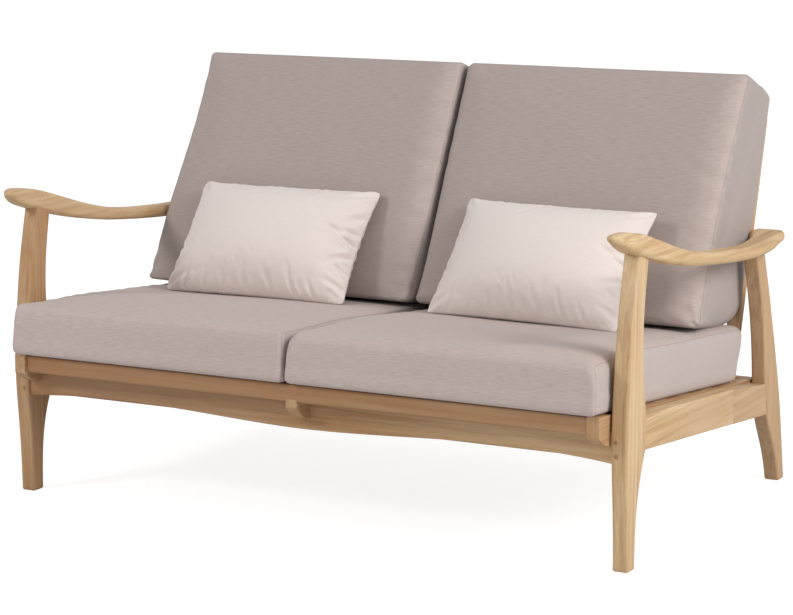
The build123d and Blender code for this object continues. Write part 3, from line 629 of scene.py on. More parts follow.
@dataclass
class Woodwork:
    """Turns boards into finished wood: grain, a browner tone that is partly painted shade, and edges.

    From board to board the grain moves on by a stride, and starts again after the wrap.
    """

    finishes: Finishes
    half_width: float = 0.68
    stride: Scale = (3.17, 0.731, 1.373)
    wrap: float = 7.0
    merge: float = 1e-5
    flat_angle: float = math.radians(0.6)
    sharp_angle: float = math.radians(28)
    eased_angle: float = math.radians(40)
    eased_segments: int = 3
    made: int = 0

    def dress(self, piece: bpy.types.Object, grain: Grain, nodes: tuple[str, ...],
              tint: tuple[float, float] = (0.0, 0.0)) -> bpy.types.Object:
        """Gives a board its grain field, material and body, and hides its CAD nodes.

        Args:
            piece: the board, at the origin.
            grain: direction of its fibres.
            nodes: CAD nodes that it stands for.
            tint: how much browner it is than the palest board, at the left and the right
            of the loveseat: partly the wood's own tone, partly painted shade.

        Returns:
            The same piece.
        """
        points = read_points(piece.data)
        self.made += 1
        shift = np.array(self.stride) * self.made
        set_field(piece, "grain", points[:, grain.value] + shift % self.wrap)
        spread = points[:, 0].clip(-self.half_width, self.half_width) / (2 * self.half_width) + 0.5
        set_field(piece, "tint", tint[0] + (tint[1] - tint[0]) * spread)
        piece.data.materials.clear()
        piece.data.materials.append(self.finishes.teak)
        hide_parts(*nodes)
        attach(piece, "frame")
        log.info("%s: %d vertices", piece.name, len(points))
        return piece

    def board(self, node: str, grain: Grain, edge: float,
              tint: tuple[float, float] = (0.0, 0.0)) -> bpy.types.Object:
        """A board cut as its CAD node is, with its sharp edges eased.

        Args:
            node: the CAD node.
            grain: direction of the fibres.
            edge: width of the eased edges, in metres.
            tint: how much browner it is than the palest board, at the left and the right
            of the loveseat: partly the wood's own tone, partly painted shade.

        Returns:
            The board.
        """
        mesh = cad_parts[node].data.copy()
        shell = bmesh.new()
        shell.from_mesh(mesh)
        bmesh.ops.remove_doubles(shell, verts=shell.verts, dist=self.merge)
        bmesh.ops.dissolve_limit(shell, angle_limit=self.flat_angle, verts=shell.verts, edges=shell.edges)
        shell.to_mesh(mesh)
        shell.free()
        mesh.polygons.foreach_set("use_smooth", np.ones(len(mesh.polygons), bool))
        mesh.set_sharp_from_angle(angle=self.sharp_angle)
        piece = bpy.data.objects.new(node + "_wood", mesh)
        bpy.context.scene.collection.objects.link(piece)
        if edge:
            bevel = piece.modifiers.new("eased edges", "BEVEL")
            bevel.width, bevel.segments, bevel.limit_method = edge, self.eased_segments, "ANGLE"
            bevel.angle_limit, bevel.harden_normals = self.eased_angle, True
        return self.dress(piece, grain, (node,), tint)


@dataclass
class Legs:
    """Front and rear legs: outlines in side view, 32 mm thick, with well rounded edges.

    A line is its heights and its places at them. The front legs' places are metres behind the zero in
    side view, the rear legs' are shares of their depth behind their place.
    """

    inner: float = 0.648
    outer: float = 0.680
    edge: float = 0.0050
    edge_steps: int = 5
    foot_chamfer: float = 0.0022
    first_ring: float = 0.008
    front_height: float = 0.590
    front_rings: int = 74
    rail_low: float = 0.2187
    rail_high: float = 0.2868
    rail_start: float = 0.08096
    front_ahead: tuple[Numbers, Numbers] = ((0.0, 0.129, 0.241, 0.370, 0.488, 0.588),
                                      (0.0028, -0.0028, -0.0110, -0.0032, 0.0138, 0.0368))
    front_low: tuple[Numbers, Numbers] = ((0.0, 0.094, 0.159, 0.2187), (0.0368, 0.0414, 0.0552, 0.0810))
    front_high: tuple[Numbers, Numbers] = ((0.2868, 0.382, 0.464, 0.588), (0.0810, 0.0644, 0.0644, 0.0837))
    rear_depth: float = 0.082
    rear_place: float = 0.7200
    rear_height: float = 0.512
    rear_rings: int = 70
    rear_ahead: tuple[Numbers, Numbers] = ((0.0, 0.068, 0.155, 0.209, 0.290, 0.404, 0.508),
                                     (1.11, 0.77, 0.16, 0.0, -0.11, -0.427, -0.866))
    rear_behind: tuple[Numbers, Numbers] = ((0.0, 0.090, 0.195, 0.323, 0.430, 0.508),
                                      (1.512, 1.305, 1.012, 0.512, 0.049, -0.33))
    # How much browner each pair is at the left and the right end: partly the wood's own tone, partly
    # painted shade, as on the rear legs beneath the armrests.
    front_tint: tuple[float, float] = (0.50, 0.02)
    rear_tint: tuple[float, float] = (0.45, 0.34)

    def front_outline(self, up: np.ndarray) -> tuple[np.ndarray, np.ndarray]:
        """Front and rear edge of a front leg at each height.

        Each edge is a spline through measured points; the rear one is straight where the rail meets it.

        Args:
            up: the heights.

        Returns:
            The places of the front edge and of the rear edge.
        """
        low = spline_through(*self.front_low, np.minimum(up, self.rail_low))
        high = spline_through(*self.front_high, np.maximum(up, self.rail_high))
        rear = np.where(up < self.rail_low, low, np.where(up > self.rail_high, high, self.rail_start))
        return spline_through(*self.front_ahead, up), rear

    def rear_outline(self, up: np.ndarray) -> tuple[np.ndarray, np.ndarray]:
        """Front and rear edge of a rear leg at each height, each a spline through measured points."""
        front, rear = (spline_through(*line, up) for line in (self.rear_ahead, self.rear_behind))
        return self.rear_place + front * self.rear_depth, self.rear_place + rear * self.rear_depth

    def leg(self, name: str, side: Side, up: np.ndarray,
            outline: tuple[np.ndarray, np.ndarray]) -> bpy.types.Object:
        """One leg: level rounded rectangles between its two edges, chamfered under the foot.

        Args:
            name: the piece's name.
            side: which end it stands at.
            up: heights of the rings.
            outline: front and rear edge at those heights.

        Returns:
            The piece.
        """
        front, rear = outline
        inset = np.where(up < 1e-6, self.foot_chamfer, 0.0)
        middle = (front + rear) / 2 - ORIGIN_BACK
        wide, deep = rounded_ring(np.full(len(up), (self.outer - self.inner) / 2) - inset,
                                  (rear - front) / 2 - inset,
                                  np.full(len(up), self.edge) - inset, self.edge_steps)
        rings = np.stack([side.value * (self.inner + self.outer) / 2 + wide, middle[:, None] + deep,
                          np.repeat(up[:, None], wide.shape[1], 1)], -1)
        piece = tube(name, rings)
        keep_flats(piece)
        return piece

    def build(self, woodwork: Woodwork) -> None:
        """Makes the four legs.

        Args:
            woodwork: what turns them into finished wood.
        """
        foot = np.array([0.0, self.foot_chamfer])
        front_up = np.linspace(self.first_ring, self.front_height, self.front_rings)
        front_up = np.unique(np.concatenate([foot, front_up, [self.rail_low, self.rail_high]]))
        rear_up = np.concatenate([foot, np.linspace(self.first_ring, self.rear_height, self.rear_rings)])
        for side in Side:
            for end, up, outline, tint in (("front", front_up, self.front_outline, self.front_tint),
                                           ("rear", rear_up, self.rear_outline, self.rear_tint)):
                node = f"{end}_leg_{side.word}"
                woodwork.dress(self.leg(node + "_wood", side, up, outline(up)), Grain.UPWARD, (node,), tint)


@dataclass
class Armrests:
    """Armrests: boat-nosed in front, swept down to a level rear end.

    A station is its share of the length, the inner face as a share of the way from leg to stile, the
    outer face as a share of the leg's thickness past it, and the underside and top as shares of the rise.
    """

    front: float = -0.055
    rear: float = 0.7972
    low: float = 0.504
    rise: float = 0.128
    leg_inner: float = 0.648
    leg_outer: float = 0.680
    stile_outer: float = 0.6205
    innermost: float = 0.985
    corner: float = 0.0105
    corner_share: float = 0.92
    corner_steps: int = 7
    end_round: float = 0.007
    least_half: float = 0.0006
    clearance: float = 0.0015
    easing: float = 1.1
    rings: tuple[tuple[float, float, int], ...] = ((0.0, 0.10, 26), (0.10, 0.97, 70), (0.97, 1.0, 8))
    stations: tuple[Numbers, ...] = (
        (0.000, -0.15, -0.58, 0.925, 0.985), (0.018, -0.04, -0.15, 0.855, 1.000),
        (0.045, 0.07, 0.18, 0.765, 0.998), (0.088, 0.07, 0.28, 0.665, 0.968),
        (0.182, 0.07, 0.31, 0.492, 0.820), (0.300, 0.04, 0.34, 0.320, 0.594),
        (0.417, 0.00, 0.41, 0.195, 0.414), (0.534, -0.07, 0.47, 0.110, 0.305),
        (0.651, -0.22, 0.56, 0.040, 0.246), (0.745, -0.31, 0.66, 0.004, 0.211),
        (0.839, -0.07, 0.66, 0.000, 0.211), (0.910, 0.42, 0.50, 0.016, 0.227),
        (0.952, 0.94, 0.34, 0.039, 0.242), (1.000, 0.98, 0.19, 0.055, 0.242))

    def section(self, along: np.ndarray) -> tuple[np.ndarray, ...]:
        """Inner and outer face, underside and top at shares of the arm's length.

        Each is a spline through the stations.

        Args:
            along: the shares.

        Returns:
            The four places at each share.
        """
        table = np.array(self.stations).T
        inner, outer, under, top = (spline_through(table[0], row, along) for row in table[1:])
        inner = np.clip(inner, None, self.innermost)
        return (self.leg_inner - inner * (self.leg_inner - self.stile_outer),
                self.leg_outer + outer * (self.leg_outer - self.leg_inner),
                self.low + self.rise * under, self.low + self.rise * top)

    def press(self, across: np.ndarray, back: np.ndarray, up: np.ndarray) -> np.ndarray:
        """Moves places that would lie in an armrest to its inner face, and eases them in above and below.

        The room grows with the distance above or below the arm.

        Args:
            across: places across the loveseat.
            back: their places in side view.
            up: their heights.

        Returns:
            The places across, kept clear.
        """
        along = np.clip((back - self.front) / (self.rear - self.front), 0.0, 1.0)
        inner, _, bottom, top = self.section(along)
        past = np.maximum(np.maximum(bottom - up, up - top), 0.0)
        room = inner - self.clearance + self.easing * past
        return np.sign(across) * np.minimum(np.abs(across), room)

    def build(self, woodwork: Woodwork) -> None:
        """Makes both armrests.

        Upright rounded rectangles follow the sections; at both ends they shrink along a quarter circle.

        Args:
            woodwork: what turns them into finished wood.
        """
        along = np.unique(np.concatenate([np.linspace(*stretch) for stretch in self.rings]))
        near, far, bottom, head = self.section(along)
        back = self.front + along * (self.rear - self.front)
        closeness = np.clip(np.minimum(back - self.front, self.rear - back) / self.end_round, 0.0, 1.0)
        shrink = self.end_round * (1 - np.sqrt(1 - (1 - closeness) ** 2))
        half_wide = np.maximum((far - near) / 2 - shrink, self.least_half)
        half_high = np.maximum((head - bottom) / 2 - shrink, self.least_half)
        radius = np.minimum(self.corner, self.corner_share * np.minimum(half_wide, half_high))
        wide, high = rounded_ring(half_wide, half_high, radius, self.corner_steps)
        for side in Side:
            rings = np.stack([side.value * ((near + far) / 2)[:, None] + side.value * wide,
                              np.repeat(back[:, None] - ORIGIN_BACK, wide.shape[1], 1),
                              ((bottom + head) / 2)[:, None] + high], -1)
            piece = tube(f"armrest_{side.word}_wood", rings)
            keep_flats(piece)
            woodwork.dress(piece, Grain.BACKWARD, (f"armrest_{side.word}",))


@dataclass
class Boards:
    """All straight boards of the frame, which keep their CAD cut.

    A board is its node, its grain, the width of its eased edges in metres and, where it is browner than
    the palest board, its tone at the left and at the right end of the loveseat, partly painted shade.
    """

    finishes: Finishes
    middle: tuple[tuple, ...] = (
        # The apron's browner tone, deeper at the left end, is painted shade under the seat's overhang.
        ("front_apron", Grain.ACROSS, 0.0015, (0.72, 0.12)),
        ("front_batten", Grain.ACROSS, 0.0012, (0.80, 0.58)),
        ("rear_rail", Grain.ACROSS, 0.0), ("back_top_rail", Grain.ACROSS, 0.0),
        ("centre_stile", Grain.UPWARD, 0.0015),
        ("seat_bearer_centre", Grain.BACKWARD, 0.0025, (0.34, 0.34)))
    slats: tuple[tuple[str, int], ...] = (("seat_slat", 6), ("back_slat", 4))
    slat_edge: float = 0.0010
    sides: tuple[tuple, ...] = (
        ("seat_bearer", Grain.BACKWARD, 0.0030, (0.45, 0.45)), ("side_rail", Grain.BACKWARD, 0.0025),
        ("rail_heel", Grain.BACKWARD, 0.0012, (0.34, 0.34)),
        ("back_stile", Grain.UPWARD, 0.0020, (0.25, 0.25)))
    round_wood: tuple[tuple, ...] = (
        ("apron_pegs", Grain.BACKWARD, 0.0004, (0.75, 0.75)), ("arm_dowels", Grain.UPWARD, 0.0))
    fasteners: tuple[str, ...] = ("stile_bolts", "stile_nuts", "seat_slat_screws", "back_slat_screws")

    def build(self, woodwork: Woodwork) -> None:
        """Makes every board, and dresses the fasteners that stay as their CAD nodes.

        Args:
            woodwork: what turns them into finished wood.
        """
        for board in self.middle:
            woodwork.board(*board)
        for node, count in self.slats:
            for number in range(1, count + 1):
                woodwork.board(f"{node}_{number}", Grain.ACROSS, self.slat_edge)
        for side in Side:
            for node, *cut in self.sides:
                woodwork.board(f"{node}_{side.word}", *cut)
        for board in self.round_wood:
            woodwork.board(*board)
        for node in self.fasteners:
            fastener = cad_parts[node]
            fastener.data.materials.clear()
            fastener.data.materials.append(self.finishes.steel)


# Cushions and pillows

def round_corners(flat: np.ndarray, half: np.ndarray, corner: np.ndarray | float) -> np.ndarray:
    """Rounds a rectangle's corners: square rings about a corner's centre become round ones.

    Args:
        flat: places in the rectangle, its middle at zero.
        half: half its width and half its length.
        corner: the radius, one for all or a column of them.

    Returns:
        The moved places.
    """
    core = np.clip(flat, corner - half, half - corner)
    out = flat - core
    unit = out / np.maximum(np.hypot(*out.T), 1e-9)[:, None]
    return core + unit * np.abs(out).max(1)[:, None]


@dataclass(frozen=True)
class Folds:
    """Folds of a cover: a furrow between two low ridges each, which bends and dies out along its way.

    A row is the fold's start across and up, its direction in degrees, its length, width and depth. The
    bend is per metre; ridges lie so many widths beside the furrow, as high as their share of its depth.
    """

    rows: tuple[Numbers, ...]
    bend: float = 4.0
    bell: float = 0.62
    ridge_place: float = 1.9
    ridge_height: float = 0.55

    def depth(self, flat: np.ndarray) -> np.ndarray:
        """How deep the folds are at places on the flat cover.

        A bell of the distance from the fold's line, less a share of two bells beside it, times a bell of
        the way along it. The line bends by the square of that way, every second one the other way.

        Args:
            flat: the places, across and up.

        Returns:
            The depth at each place.
        """
        table = np.array(self.rows)
        heading = np.radians(table[:, 2])
        length, width, depth = table[:, 3], table[:, 4], table[:, 5]
        step = flat[:, None, :] - table[None, :, :2]
        way = step[..., 0] * np.cos(heading) + step[..., 1] * np.sin(heading)
        bend = self.bend * way**2 * np.where(np.arange(len(table)) % 2, 1.0, -1.0)
        off = step[..., 1] * np.cos(heading) - step[..., 0] * np.sin(heading) - bend
        off /= width * self.bell
        furrow = np.exp(-off**2) - self.ridge_height * np.exp(-(np.abs(off) - self.ridge_place) ** 2)
        return (furrow * np.exp(-(way / (self.bell * length)) ** 2) * depth).sum(1)


class Sewing(Enum):
    """Which panels of a box cushion its seams go round."""

    SIDES = "the two end panels"
    FACES = "the front and the rear face, with a strip all round between them"


@dataclass(frozen=True)
class StuffedBox:
    """A box cushion before it is put in its place: outline, edges, crown and seams.

    The wave tables hold radians per metre, height, and how often the seed is added to the phase.
    """

    width: float
    length: float
    depth: float
    sewing: Sewing
    corner: float
    face_corner: float
    face_edge: float
    end_edge: float
    rear_edge: float
    crown: float
    side_bulge: float
    draw_in: float
    seed: float
    foot_corner: float = 0.010
    arch: float = 0.0
    arch_run: float = 0.35
    arch_middle: float = 0.25
    folds: Folds | None = None
    cell: float = 0.012
    pucker: float = 0.0011
    pucker_reach: tuple[float, float] = (0.045, 0.026)
    pucker_end: float = 0.4
    slow: float = 0.0008
    seam_waves: tuple[Numbers, ...] = ((134, 1.0, 1), (203, 0.7, 3), (87, 0.5, 0))

    @property
    def half(self) -> np.ndarray:
        """Half the width and half the length."""
        return np.array([self.width, self.length]) / 2

    def marks(self, size: float, edge: float, other_edge: float) -> np.ndarray:
        """Places along one side: close together in its rounded ends, even between them.

        The distances from an end are the radius times one less the tangent of equal angles.

        Args:
            size: length of the side.
            edge: radius at its start.
            other_edge: radius at its end.

        Returns:
            The rising places, from 0 to the length.
        """
        turn = np.tan(np.radians(np.arange(45, -1, -9)))
        first, last = edge * (1 - turn), size - other_edge * (1 - turn)[::-1]
        count = max(2, round((last[0] - first[-1]) / self.cell))
        return np.concatenate([first, np.linspace(first[-1], last[0], count + 1)[1:-1], last])

    def lattice(self) -> tuple[np.ndarray, np.ndarray, np.ndarray]:
        """Points, faces and UV of the plain box skin.

        Returns:
            Points as (across, along, through), faces of four, and UV in metres for each face corner.
        """
        wide, long = max(self.face_edge, self.face_corner), max(self.end_edge, self.face_corner)
        a = self.marks(self.width, wide, wide) - self.width / 2
        b = self.marks(self.length, long, long) - self.length / 2
        c = self.marks(self.depth, self.rear_edge, self.face_edge)
        size = (len(a), len(b), len(c))
        faces = []
        for axis, (first, second) in enumerate(((1, 2), (0, 2), (0, 1))):
            row, column = np.meshgrid(np.arange(size[first] - 1), np.arange(size[second] - 1),
                                      indexing="ij")
            for level in (0, size[axis] - 1):
                corners = []
                for step_row, step_column in ((0, 0), (1, 0), (1, 1), (0, 1)):
                    place = {axis: np.full_like(row, level), first: row + step_row,
                             second: column + step_column}
                    corners.append(place[0] + size[0] * (place[1] + size[1] * place[2]))
                faces.append(np.stack(corners, -1).reshape(-1, 4))
        used, faces = np.unique(np.vstack(faces), return_inverse=True)
        faces = faces.reshape(-1, 4)
        points = np.stack([a[used % size[0]], b[used // size[0] % size[1]],
                           c[used // (size[0] * size[1])]], -1)
        spans = points[faces]
        flat = np.ptp(spans, axis=1).argmin(1)
        pick = np.array([[2, 1], [0, 2], [0, 1]])[flat]
        uv = np.take_along_axis(spans, pick[:, None, :], 2)
        return points, faces, uv.reshape(-1, 2)

    def seam_distance(self, points: np.ndarray) -> np.ndarray:
        """Distance of the plain box's points to the nearest seam, negative on the side panels.

        Args:
            points: the plain box's points.

        Returns:
            The distances in metres.
        """
        from_side, from_end = (self.half - np.abs(points[:, :2])).T
        from_face = np.minimum(points[:, 2], self.depth - points[:, 2])
        if self.sewing is Sewing.SIDES:
            return np.where(from_side > 1e-9, from_side, -np.minimum(from_end, from_face))
        return np.where(from_face > 1e-9, -from_face, np.minimum(from_side, from_end))

    def steps_out(self, flat: np.ndarray, margin: np.ndarray | float) -> np.ndarray:
        """Steps from the outline set in by a margin to places outside it, none inside."""
        return flat - np.clip(flat, margin - self.half, self.half - margin)

    def edge_radius(self, flat: np.ndarray, at_rear: np.ndarray) -> np.ndarray:
        """Radius of the nearest long edge.

        In front it goes from the ends' to the sides' by the share of the step sideways in the square of
        the whole step out.

        Args:
            flat: places across and along.
            at_rear: which of them are nearer to the rear face.

        Returns:
            The radius at each place.
        """
        step = self.steps_out(flat, max(self.face_edge, self.end_edge))
        sideways = (step[:, 0] ** 2 + 1e-12) / ((step**2).sum(1) + 2e-12)
        front = self.end_edge + (self.face_edge - self.end_edge) * sideways
        return np.where(at_rear, self.rear_edge, front)

    def swell(self, flat: np.ndarray, formed: np.ndarray, through: np.ndarray) -> np.ndarray:
        """How far the cover rises in front.

        The crown is the product of one less the fourth power of the share across and the same along. The
        arch lifts the face behind its front edge, least in the middle. Ripples are added, folds taken
        off, and all of it fades out from the front face to three eighths of the way through.

        Args:
            flat: places across and along on the plain box.
            formed: the same with rounded corners and edges.
            through: distances from the rear face.

        Returns:
            The rise at each place.
        """
        across, along = np.clip(formed / self.half, -1, 1).T
        arch = self.arch * smooth((along + 1) / 2 / self.arch_run)
        arch *= self.arch_middle + (1 - self.arch_middle) * across**4
        rise = (1 - across**4) * (1 - along**4) * self.crown + arch + self.ripple(formed)
        if self.folds:
            rise -= self.folds.depth(flat)
        return rise * smooth(through / self.depth * 1.6 - 0.6)

    def form(self, points: np.ndarray) -> np.ndarray:
        """Rounds, crowns and draws in the plain box.

        The radius of the outline's corners goes from the rear ones' to the face's in the front half. The
        long edges become round as corners do, with the distances to the outline and to the face. A side
        draws in by one less the square of the share along it, and bulges by the sine of the share through.

        Args:
            points: the plain box's points.

        Returns:
            The formed points.
        """
        flat, low = points[:, :2], points[:, 2]
        rear_corner = np.where(flat[:, 1] < 0, self.foot_corner, self.corner)
        opening = smooth((low / self.depth - 0.5) / 0.5)
        corner = (rear_corner + (self.face_corner - rear_corner) * opening)[:, None]
        at_rear = low < self.depth - low
        edge = self.edge_radius(flat, at_rear)
        inset, near = (self.half - np.abs(flat)).min(1), np.minimum(low, self.depth - low)
        side_part, face_part = np.clip(edge - inset, 0.0, None), np.clip(edge - near, 0.0, None)
        both = (side_part > 0) & (face_part > 0)
        longer, slanting = np.maximum(side_part, face_part), np.hypot(side_part, face_part)
        turn = np.where(both, longer / np.maximum(slanting, 1e-9), 1.0)
        near = np.where(both, edge - face_part * turn, near)
        through = np.where(at_rear, near, self.depth - near)
        away = self.steps_out(flat, np.maximum(corner, edge[:, None]))
        away /= np.maximum(np.hypot(*away.T), 1e-9)[:, None]
        bulge = self.side_bulge * np.sin(np.pi * through / self.depth) * (inset < 1e-9)
        moved = bulge - side_part * (1 - turn)
        formed = round_corners(flat, self.half, corner) + away * moved[:, None]
        share = np.clip(formed / self.half, -1, 1)
        drawn = formed * (1 - self.draw_in / self.half * (1 - share[:, ::-1] ** 2))
        return np.column_stack([drawn, through + self.swell(flat, formed, through)])

    def seam_fold(self, place: np.ndarray) -> np.ndarray:
        """Uneven waves along a seam, which come and go with the square of a slow one.

        Args:
            place: places along the seam.

        Returns:
            The height of the waves, about 1 at most.
        """
        waves = sum(height * np.sin(place * rate + phase * self.seed)
                    for rate, height, phase in self.seam_waves)
        return waves * (0.4 + 0.6 * np.sin(place * 9 + 2 * self.seed) ** 2)

    def ripple(self, flat: np.ndarray) -> np.ndarray:
        """Soft unevenness of the cover: slow waves over the face, puckers that die out from the seams.

        Args:
            flat: places across and along.

        Returns:
            The rise at each place, in metres.
        """
        across, along = flat.T
        slow = np.sin(across * 17 + self.seed) * np.sin(along * 13 + 2 * self.seed)
        slow = self.slow * (slow + np.sin(across * 9 - along * 11 + self.seed))
        from_side = np.exp((np.abs(across) - self.half[0]) / self.pucker_reach[0])
        from_end = np.exp((np.abs(along) - self.half[1]) / self.pucker_reach[1])
        puckers = from_side * self.seam_fold(along) + self.pucker_end * from_end * self.seam_fold(across)
        return slow + self.pucker * puckers


@dataclass(frozen=True)
class Filling:
    """How the cloth simulation blows a cover up, and how far a point may move."""

    pressure: float = 3.0
    cap: float = 0.003
    frames: int = 14
    growth: float = 0.0
    tension: float = 20.0
    bending: float = 1.5
    quality: int = 6
    mass: float = 0.25

    def puff(self, piece: bpy.types.Object, pinned: np.ndarray) -> None:
        """Simulates the cover under inside pressure without gravity, and keeps the result.

        Args:
            piece: the cover.
            pinned: the vertices that stay where they are.
        """
        start = read_points(piece.data)
        group = piece.vertex_groups.new(name="resting")
        group.add([int(number) for number in np.flatnonzero(pinned)], 1.0, "REPLACE")
        cloth = piece.modifiers.new("cover", "CLOTH")
        settings = cloth.settings
        settings.quality, settings.mass = self.quality, self.mass
        settings.tension_stiffness = settings.compression_stiffness = self.tension
        settings.shear_stiffness, settings.bending_stiffness = self.tension / 3, self.bending
        settings.use_pressure, settings.uniform_pressure_force = True, self.pressure
        settings.shrink_min = -self.growth
        settings.effector_weights.gravity = 0.0
        if pinned.any():
            settings.vertex_group_mass = "resting"
        cloth.collision_settings.use_collision = False
        scene = bpy.context.scene
        for number in range(1, self.frames + 1):
            scene.frame_set(number)
        shaped = read_points(piece.evaluated_get(bpy.context.evaluated_depsgraph_get()).to_mesh())
        move = shaped - start
        reach = np.linalg.norm(move, axis=1)
        move *= np.minimum(1.0, self.cap / np.maximum(reach, 1e-9))[:, None]
        piece.modifiers.remove(cloth)
        piece.vertex_groups.remove(group)
        piece.data.vertices.foreach_set("co", (start + move).ravel())
        piece.data.update()
        scene.frame_set(1)


@dataclass
class SeatCushion:
    """A seat cushion, flat below and crowned above, its rear end parallel to the back."""

    side: Side
    finishes: Finishes
    gap_slant: float = -0.0095
    slant_end: float = 0.440
    half_gap: float = 0.0032
    outer: float = 0.6400
    overhang: float = 0.0145
    thickness: float = 0.101
    lift: float = 0.0006
    corner_out: float = 0.004
    corner_round: float = 0.026
    edge_round: float = 0.022
    front_round: float = 0.020
    arch: float = 0.013
    rear_slant: float = 0.032
    pinned_below: float = 0.03

    def build(self) -> None:
        """Makes, fills and places the cushion.

        Ahead of the back cushions the gap in the middle slants, by a share of the distance from the
        slant's end. The outer front corner stands out in front of the leg.
        """
        width = self.outer - self.half_gap
        middle = self.side.value * (self.outer + self.half_gap) / 2
        length = SIDE_VIEW.seat_depth + self.overhang - 0.001
        box = StuffedBox(width, length, self.thickness, Sewing.SIDES, corner=0.010,
                         face_corner=self.corner_round, face_edge=self.edge_round,
                         end_edge=self.front_round, rear_edge=0.011, crown=0.010, side_bulge=0.0030,
                         draw_in=0.0025, seed=1.3 + self.side.value, arch=self.arch)
        flat, faces, uv = box.lattice()
        formed = box.form(flat)
        along, above = formed[:, 1] + length / 2 - self.overhang, formed[:, 2] + self.lift
        slant = above * math.tan(SIDE_VIEW.lean - SIDE_VIEW.pitch)
        slant -= self.rear_slant * np.clip(1 - above / self.thickness, 0.0, 1.0)
        back, up = SIDE_VIEW.on_seat(along + (formed[:, 1] / length + 0.5) * slant, above)
        toward_gap = 0.5 - self.side.value * formed[:, 0] / width
        ahead = np.clip(1 - along / self.slant_end, 0.0, 1.0)
        across = middle + formed[:, 0] + self.gap_slant * toward_gap * ahead
        standing_out = np.clip(-along / self.overhang, 0.0, 1.0)
        across += self.side.value * self.corner_out * (1 - toward_gap) * standing_out
        points = np.column_stack([across, back - ORIGIN_BACK, up])
        piece = new_piece(f"seat_cushion_{self.side.word}_cover", points, faces, uv)
        point_outwards(piece)
        set_field(piece, "seam", box.seam_distance(flat))
        Filling().puff(piece, formed[:, 2] < self.pinned_below)
        finish_cover(piece, self.finishes.taupe, f"seat_cushion_{self.side.word}")


